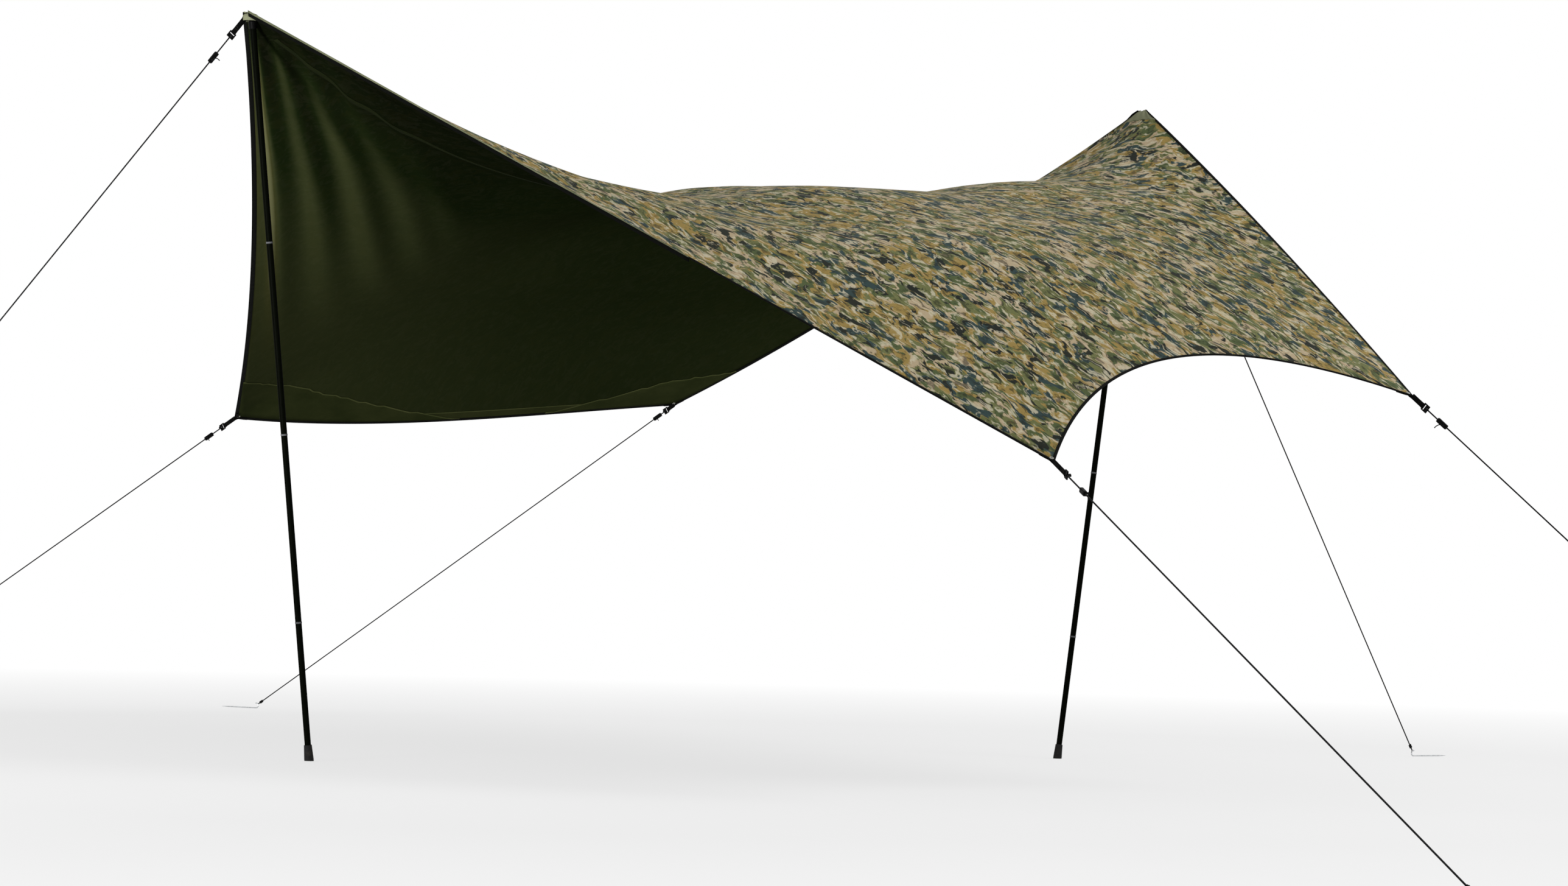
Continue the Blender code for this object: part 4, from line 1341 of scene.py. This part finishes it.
# Legs of the yokes; twist and ends are shares along the leg and along the strap
LEG_WIDTH = 0.010
LEG_THICK = 0.0010
LEG_ON_HEM = 0.045
LEG_STEPS = 25
LEG_INSET = 0.0045
LEG_DROP = SHEET / 2 + 0.0030
LEG_TWIST = (0.3, 0.8)
LEG_PAST_CORNER = 0.004
LEG_INTO_STRAP = (0.25, 0.55)


def yoke(name, edge, corner_row):
    """Two webbing legs that run from the hems at a low corner into its strap."""
    start, _, way, wide, begin = corner_line(name)
    beside = np.cross(way, wide)
    reach = KITS[name].strap - begin
    inner = 1 if edge == 0 else edge - 1
    for tag, step in (("left", -1), ("right", 1)):
        rim = SHEET_NET[corner_row + step * 2, edge]
        up = SHEET_UP[corner_row + step * 2, edge]
        along = unit(rim - start)
        inward = np.cross(up, along)
        inward = inward * np.sign(inward @ (SHEET_NET[corner_row, inner] - start))
        under = inward * LEG_INSET - up * LEG_DROP
        hand = np.sign(along @ beside) * beside * (STRAP / 2 + LEG_THICK)
        points = [start + along * LEG_ON_HEM * share + under for share in (1.0, 0.5)]
        points.append(start + along * LEG_PAST_CORNER + under * 0.8)
        points += [start + way * (begin + reach * share) + hand for share in LEG_INTO_STRAP]
        points = np.array(points)
        path = spline(points, np.linspace(0, len(points) - 1, LEG_STEPS))
        turn = eased(np.linspace(0, 1, LEG_STEPS), *LEG_TWIST)[:, None]
        flat = (1 - turn) * inward + turn * wide * np.sign(wide @ inward)
        section = tape_profile(LEG_WIDTH, LEG_THICK)
        flat_band("leg_" + tag + "_" + name, path, flat, section, WEBBING)


for corner_name, edge, row, *_ in LOW_CORNERS:
    yoke(corner_name, edge, row)


# Eyelets at the low corners
EYELET_INSET = 0.014
EYELET_BORE = 0.0026
EYELET_RIM = 0.0058
EYELET_HALF = 0.0031


def eyelet(name, edge, corner_row):
    """Rolled metal eyelet through the cloth just inside a low corner."""
    corner = SHEET_NET[corner_row, edge]
    ways = [unit(SHEET_NET[corner_row + k, edge] - corner) for k in (-4, 4)]
    inward = unit(ways[0] + ways[1])
    axis = SHEET_UP[corner_row, edge]
    inward = unit(inward - (inward @ axis) * axis)
    side = np.cross(axis, inward)
    crown = (EYELET_BORE + EYELET_RIM) / 2
    profile = [
        (EYELET_BORE, EYELET_HALF * 0.8),
        (crown, EYELET_HALF),
        (EYELET_RIM, EYELET_HALF * 0.7),
        (EYELET_RIM, -EYELET_HALF * 0.7),
        (crown, -EYELET_HALF),
        (EYELET_BORE, -EYELET_HALF * 0.8),
    ]
    centre = corner + inward * EYELET_INSET
    points, faces = turned(centre, inward, side, axis, profile, 36)
    piece("eyelet_" + name, points, faces, [EYELET])


for corner_name, edge, row, *_ in LOW_CORNERS:
    eyelet(corner_name, edge, row)


# Pole details
CREST_AT = 0.034
CREST_HALF = 0.0015 / 2
FERRULE_DOWN = 0.0035
FERRULE_HALF = 0.0025
FERRULE_THICK = 0.0005
FERRULE_CLEAR = 0.00015


def pole_axis(foot, first, second, drop):
    """The foot of a pole and its direction towards its cup under the ridge."""
    step = unit(NET[second, PANEL_STRIPS] - NET[first, PANEL_STRIPS])
    crest = NET[first, PANEL_STRIPS] + step * (CREST_AT - PEAK_CUT)
    top = crest - UP * (CREST_HALF + drop)
    return np.array(foot), unit(top - np.array(foot))


def ferrule(name, foot, axis, at, body):
    """A turned collar round a pole, at a height along it."""
    inner = POLE_RADIUS + FERRULE_CLEAR
    outer = inner + FERRULE_THICK
    half = FERRULE_HALF
    soft = FERRULE_THICK * 0.5
    profile = [
        (inner, -half),
        (outer - soft, -half),
        (outer, -half + soft),
        (outer, half - soft),
        (outer - soft, half),
        (inner, half),
    ]
    side = unit(np.cross(axis, (0.0, 1.0, 0.0)))
    points, faces = turned(foot + axis * at, side, np.cross(axis, side), axis, profile, 40)
    piece(name, points, faces, [FERRULE], body=body)


# Foot, the two ribs at that end of the ridge, and how far below the crest the pole ends
POLES = (
    ("left", FOOT_LEFT, 0, 1, 0.0042),
    ("right", FOOT_RIGHT, LAST_RIB, LAST_RIB - 1, 0.0140),
)
for side_name, foot, first, second, drop in POLES:
    origin, axis = pole_axis(foot, first, second, drop)
    for section, at in zip(("base", "lower", "upper"), POLE_JOINTS):
        tag = side_name + "_" + section
        ferrule("ferrule_" + tag, origin, axis, at - FERRULE_DOWN, "pole_" + tag)


# Carried-over pieces
FINISHES = {
    "buckle_": PLASTIC,
    "tensioner_": PLASTIC,
    "peg_": STEEL,
    "pole_cup_": PLASTIC,
    "pole_left_foot": RUBBER,
    "pole_right_foot": RUBBER,
    "pole_left_tip": PLASTIC,
    "pole_right_tip": PLASTIC,
}
for node_name, node in NODES.items():
    found = [skin for start, skin in FINISHES.items() if node_name.startswith(start)]
    skin = found[0] if found else POLE
    for place in node.material_slots:
        place.material = skin


# Floor, light and background
FLOOR_HALF = 120.0
FLOOR_DROP = 0.0005
FLOOR_FADES = (3.5, 9.0)
FLOOR_GLOW = 0.70
WORLD_LIGHT = 0.38


def make_stage():
    """Pale floor that goes over into the white background away from the tarp."""
    f = Finish("studio_floor")
    where = f.coords()
    cloudy = f.noise(where, 0.7, 3.0)["Fac"]
    f.set("Base Color", f.mix(f.span(cloudy, 0.3, 0.7), (0.74, 0.74, 0.74), (0.77, 0.77, 0.77)))
    f.set("Roughness", 0.9)
    f.set("Specular IOR Level", 0.1)
    glow = f.node("ShaderNodeEmission", {"Color": (1.0, 1.0, 1.0, 1.0), "Strength": 1.0})
    away = f.node("ShaderNodeVectorMath", {0: where}, operation="LENGTH").outputs["Value"]
    share = f.math("MULTIPLY", f.seen_directly(), f.span(away, *FLOOR_FADES, FLOOR_GLOW, 1.0), True)
    blend = f.node("ShaderNodeMixShader", {0: share, 1: f.shader.outputs[0], 2: glow.outputs[0]})
    f.put(f.tree.nodes["Material Output"], "Surface", blend.outputs[0])
    h = FLOOR_HALF
    floor = bpy.data.meshes.new("studio_floor")
    floor.from_pydata([(-h, -h, 0), (h, -h, 0), (h, h, 0), (-h, h, 0)], [], [(0, 1, 2, 3)])
    floor.materials.append(f.material)
    obj = bpy.data.objects.new("studio_floor", floor)
    obj.location.z = -FLOOR_DROP
    bpy.context.scene.collection.objects.link(obj)


def make_world():
    """White where the background is seen, and a soft light from all round."""
    world = bpy.data.worlds.new("studio")
    bpy.context.scene.world = world
    world.use_nodes = True
    sky = Nodes(world.node_tree)
    back = sky.tree.nodes["Background"]
    sky.put(back, "Strength", sky.span(sky.seen_directly(), 0.0, 1.0, WORLD_LIGHT, 1.0))
    sky.put(back, "Color", (1.0, 1.0, 1.0, 1.0))


def lamp(name, at, aim, size, power, spread):
    """Round area lamp aimed at a point; its spread is in degrees."""
    data = bpy.data.lights.new(name, "AREA")
    data.shape = "DISK"
    data.size = size
    data.energy = power
    data.spread = math.radians(spread)
    obj = bpy.data.objects.new(name, data)
    obj.location = at
    obj.rotation_euler = (Vector(aim) - Vector(at)).to_track_quat("-Z", "Y").to_euler()
    bpy.context.scene.collection.objects.link(obj)


make_stage()
make_world()
lamp("key", (4.5, -6.5, 8.0), (0.2, -0.3, 1.2), 5.0, 460.0, 180.0)
lamp("low_left", (-7.0, -3.0, 0.85), (-0.9, 0.9, 1.5), 1.6, 60.0, 60.0)

bpy.context.scene.view_settings.view_transform = "Standard"

bpy.context.view_layer.update()
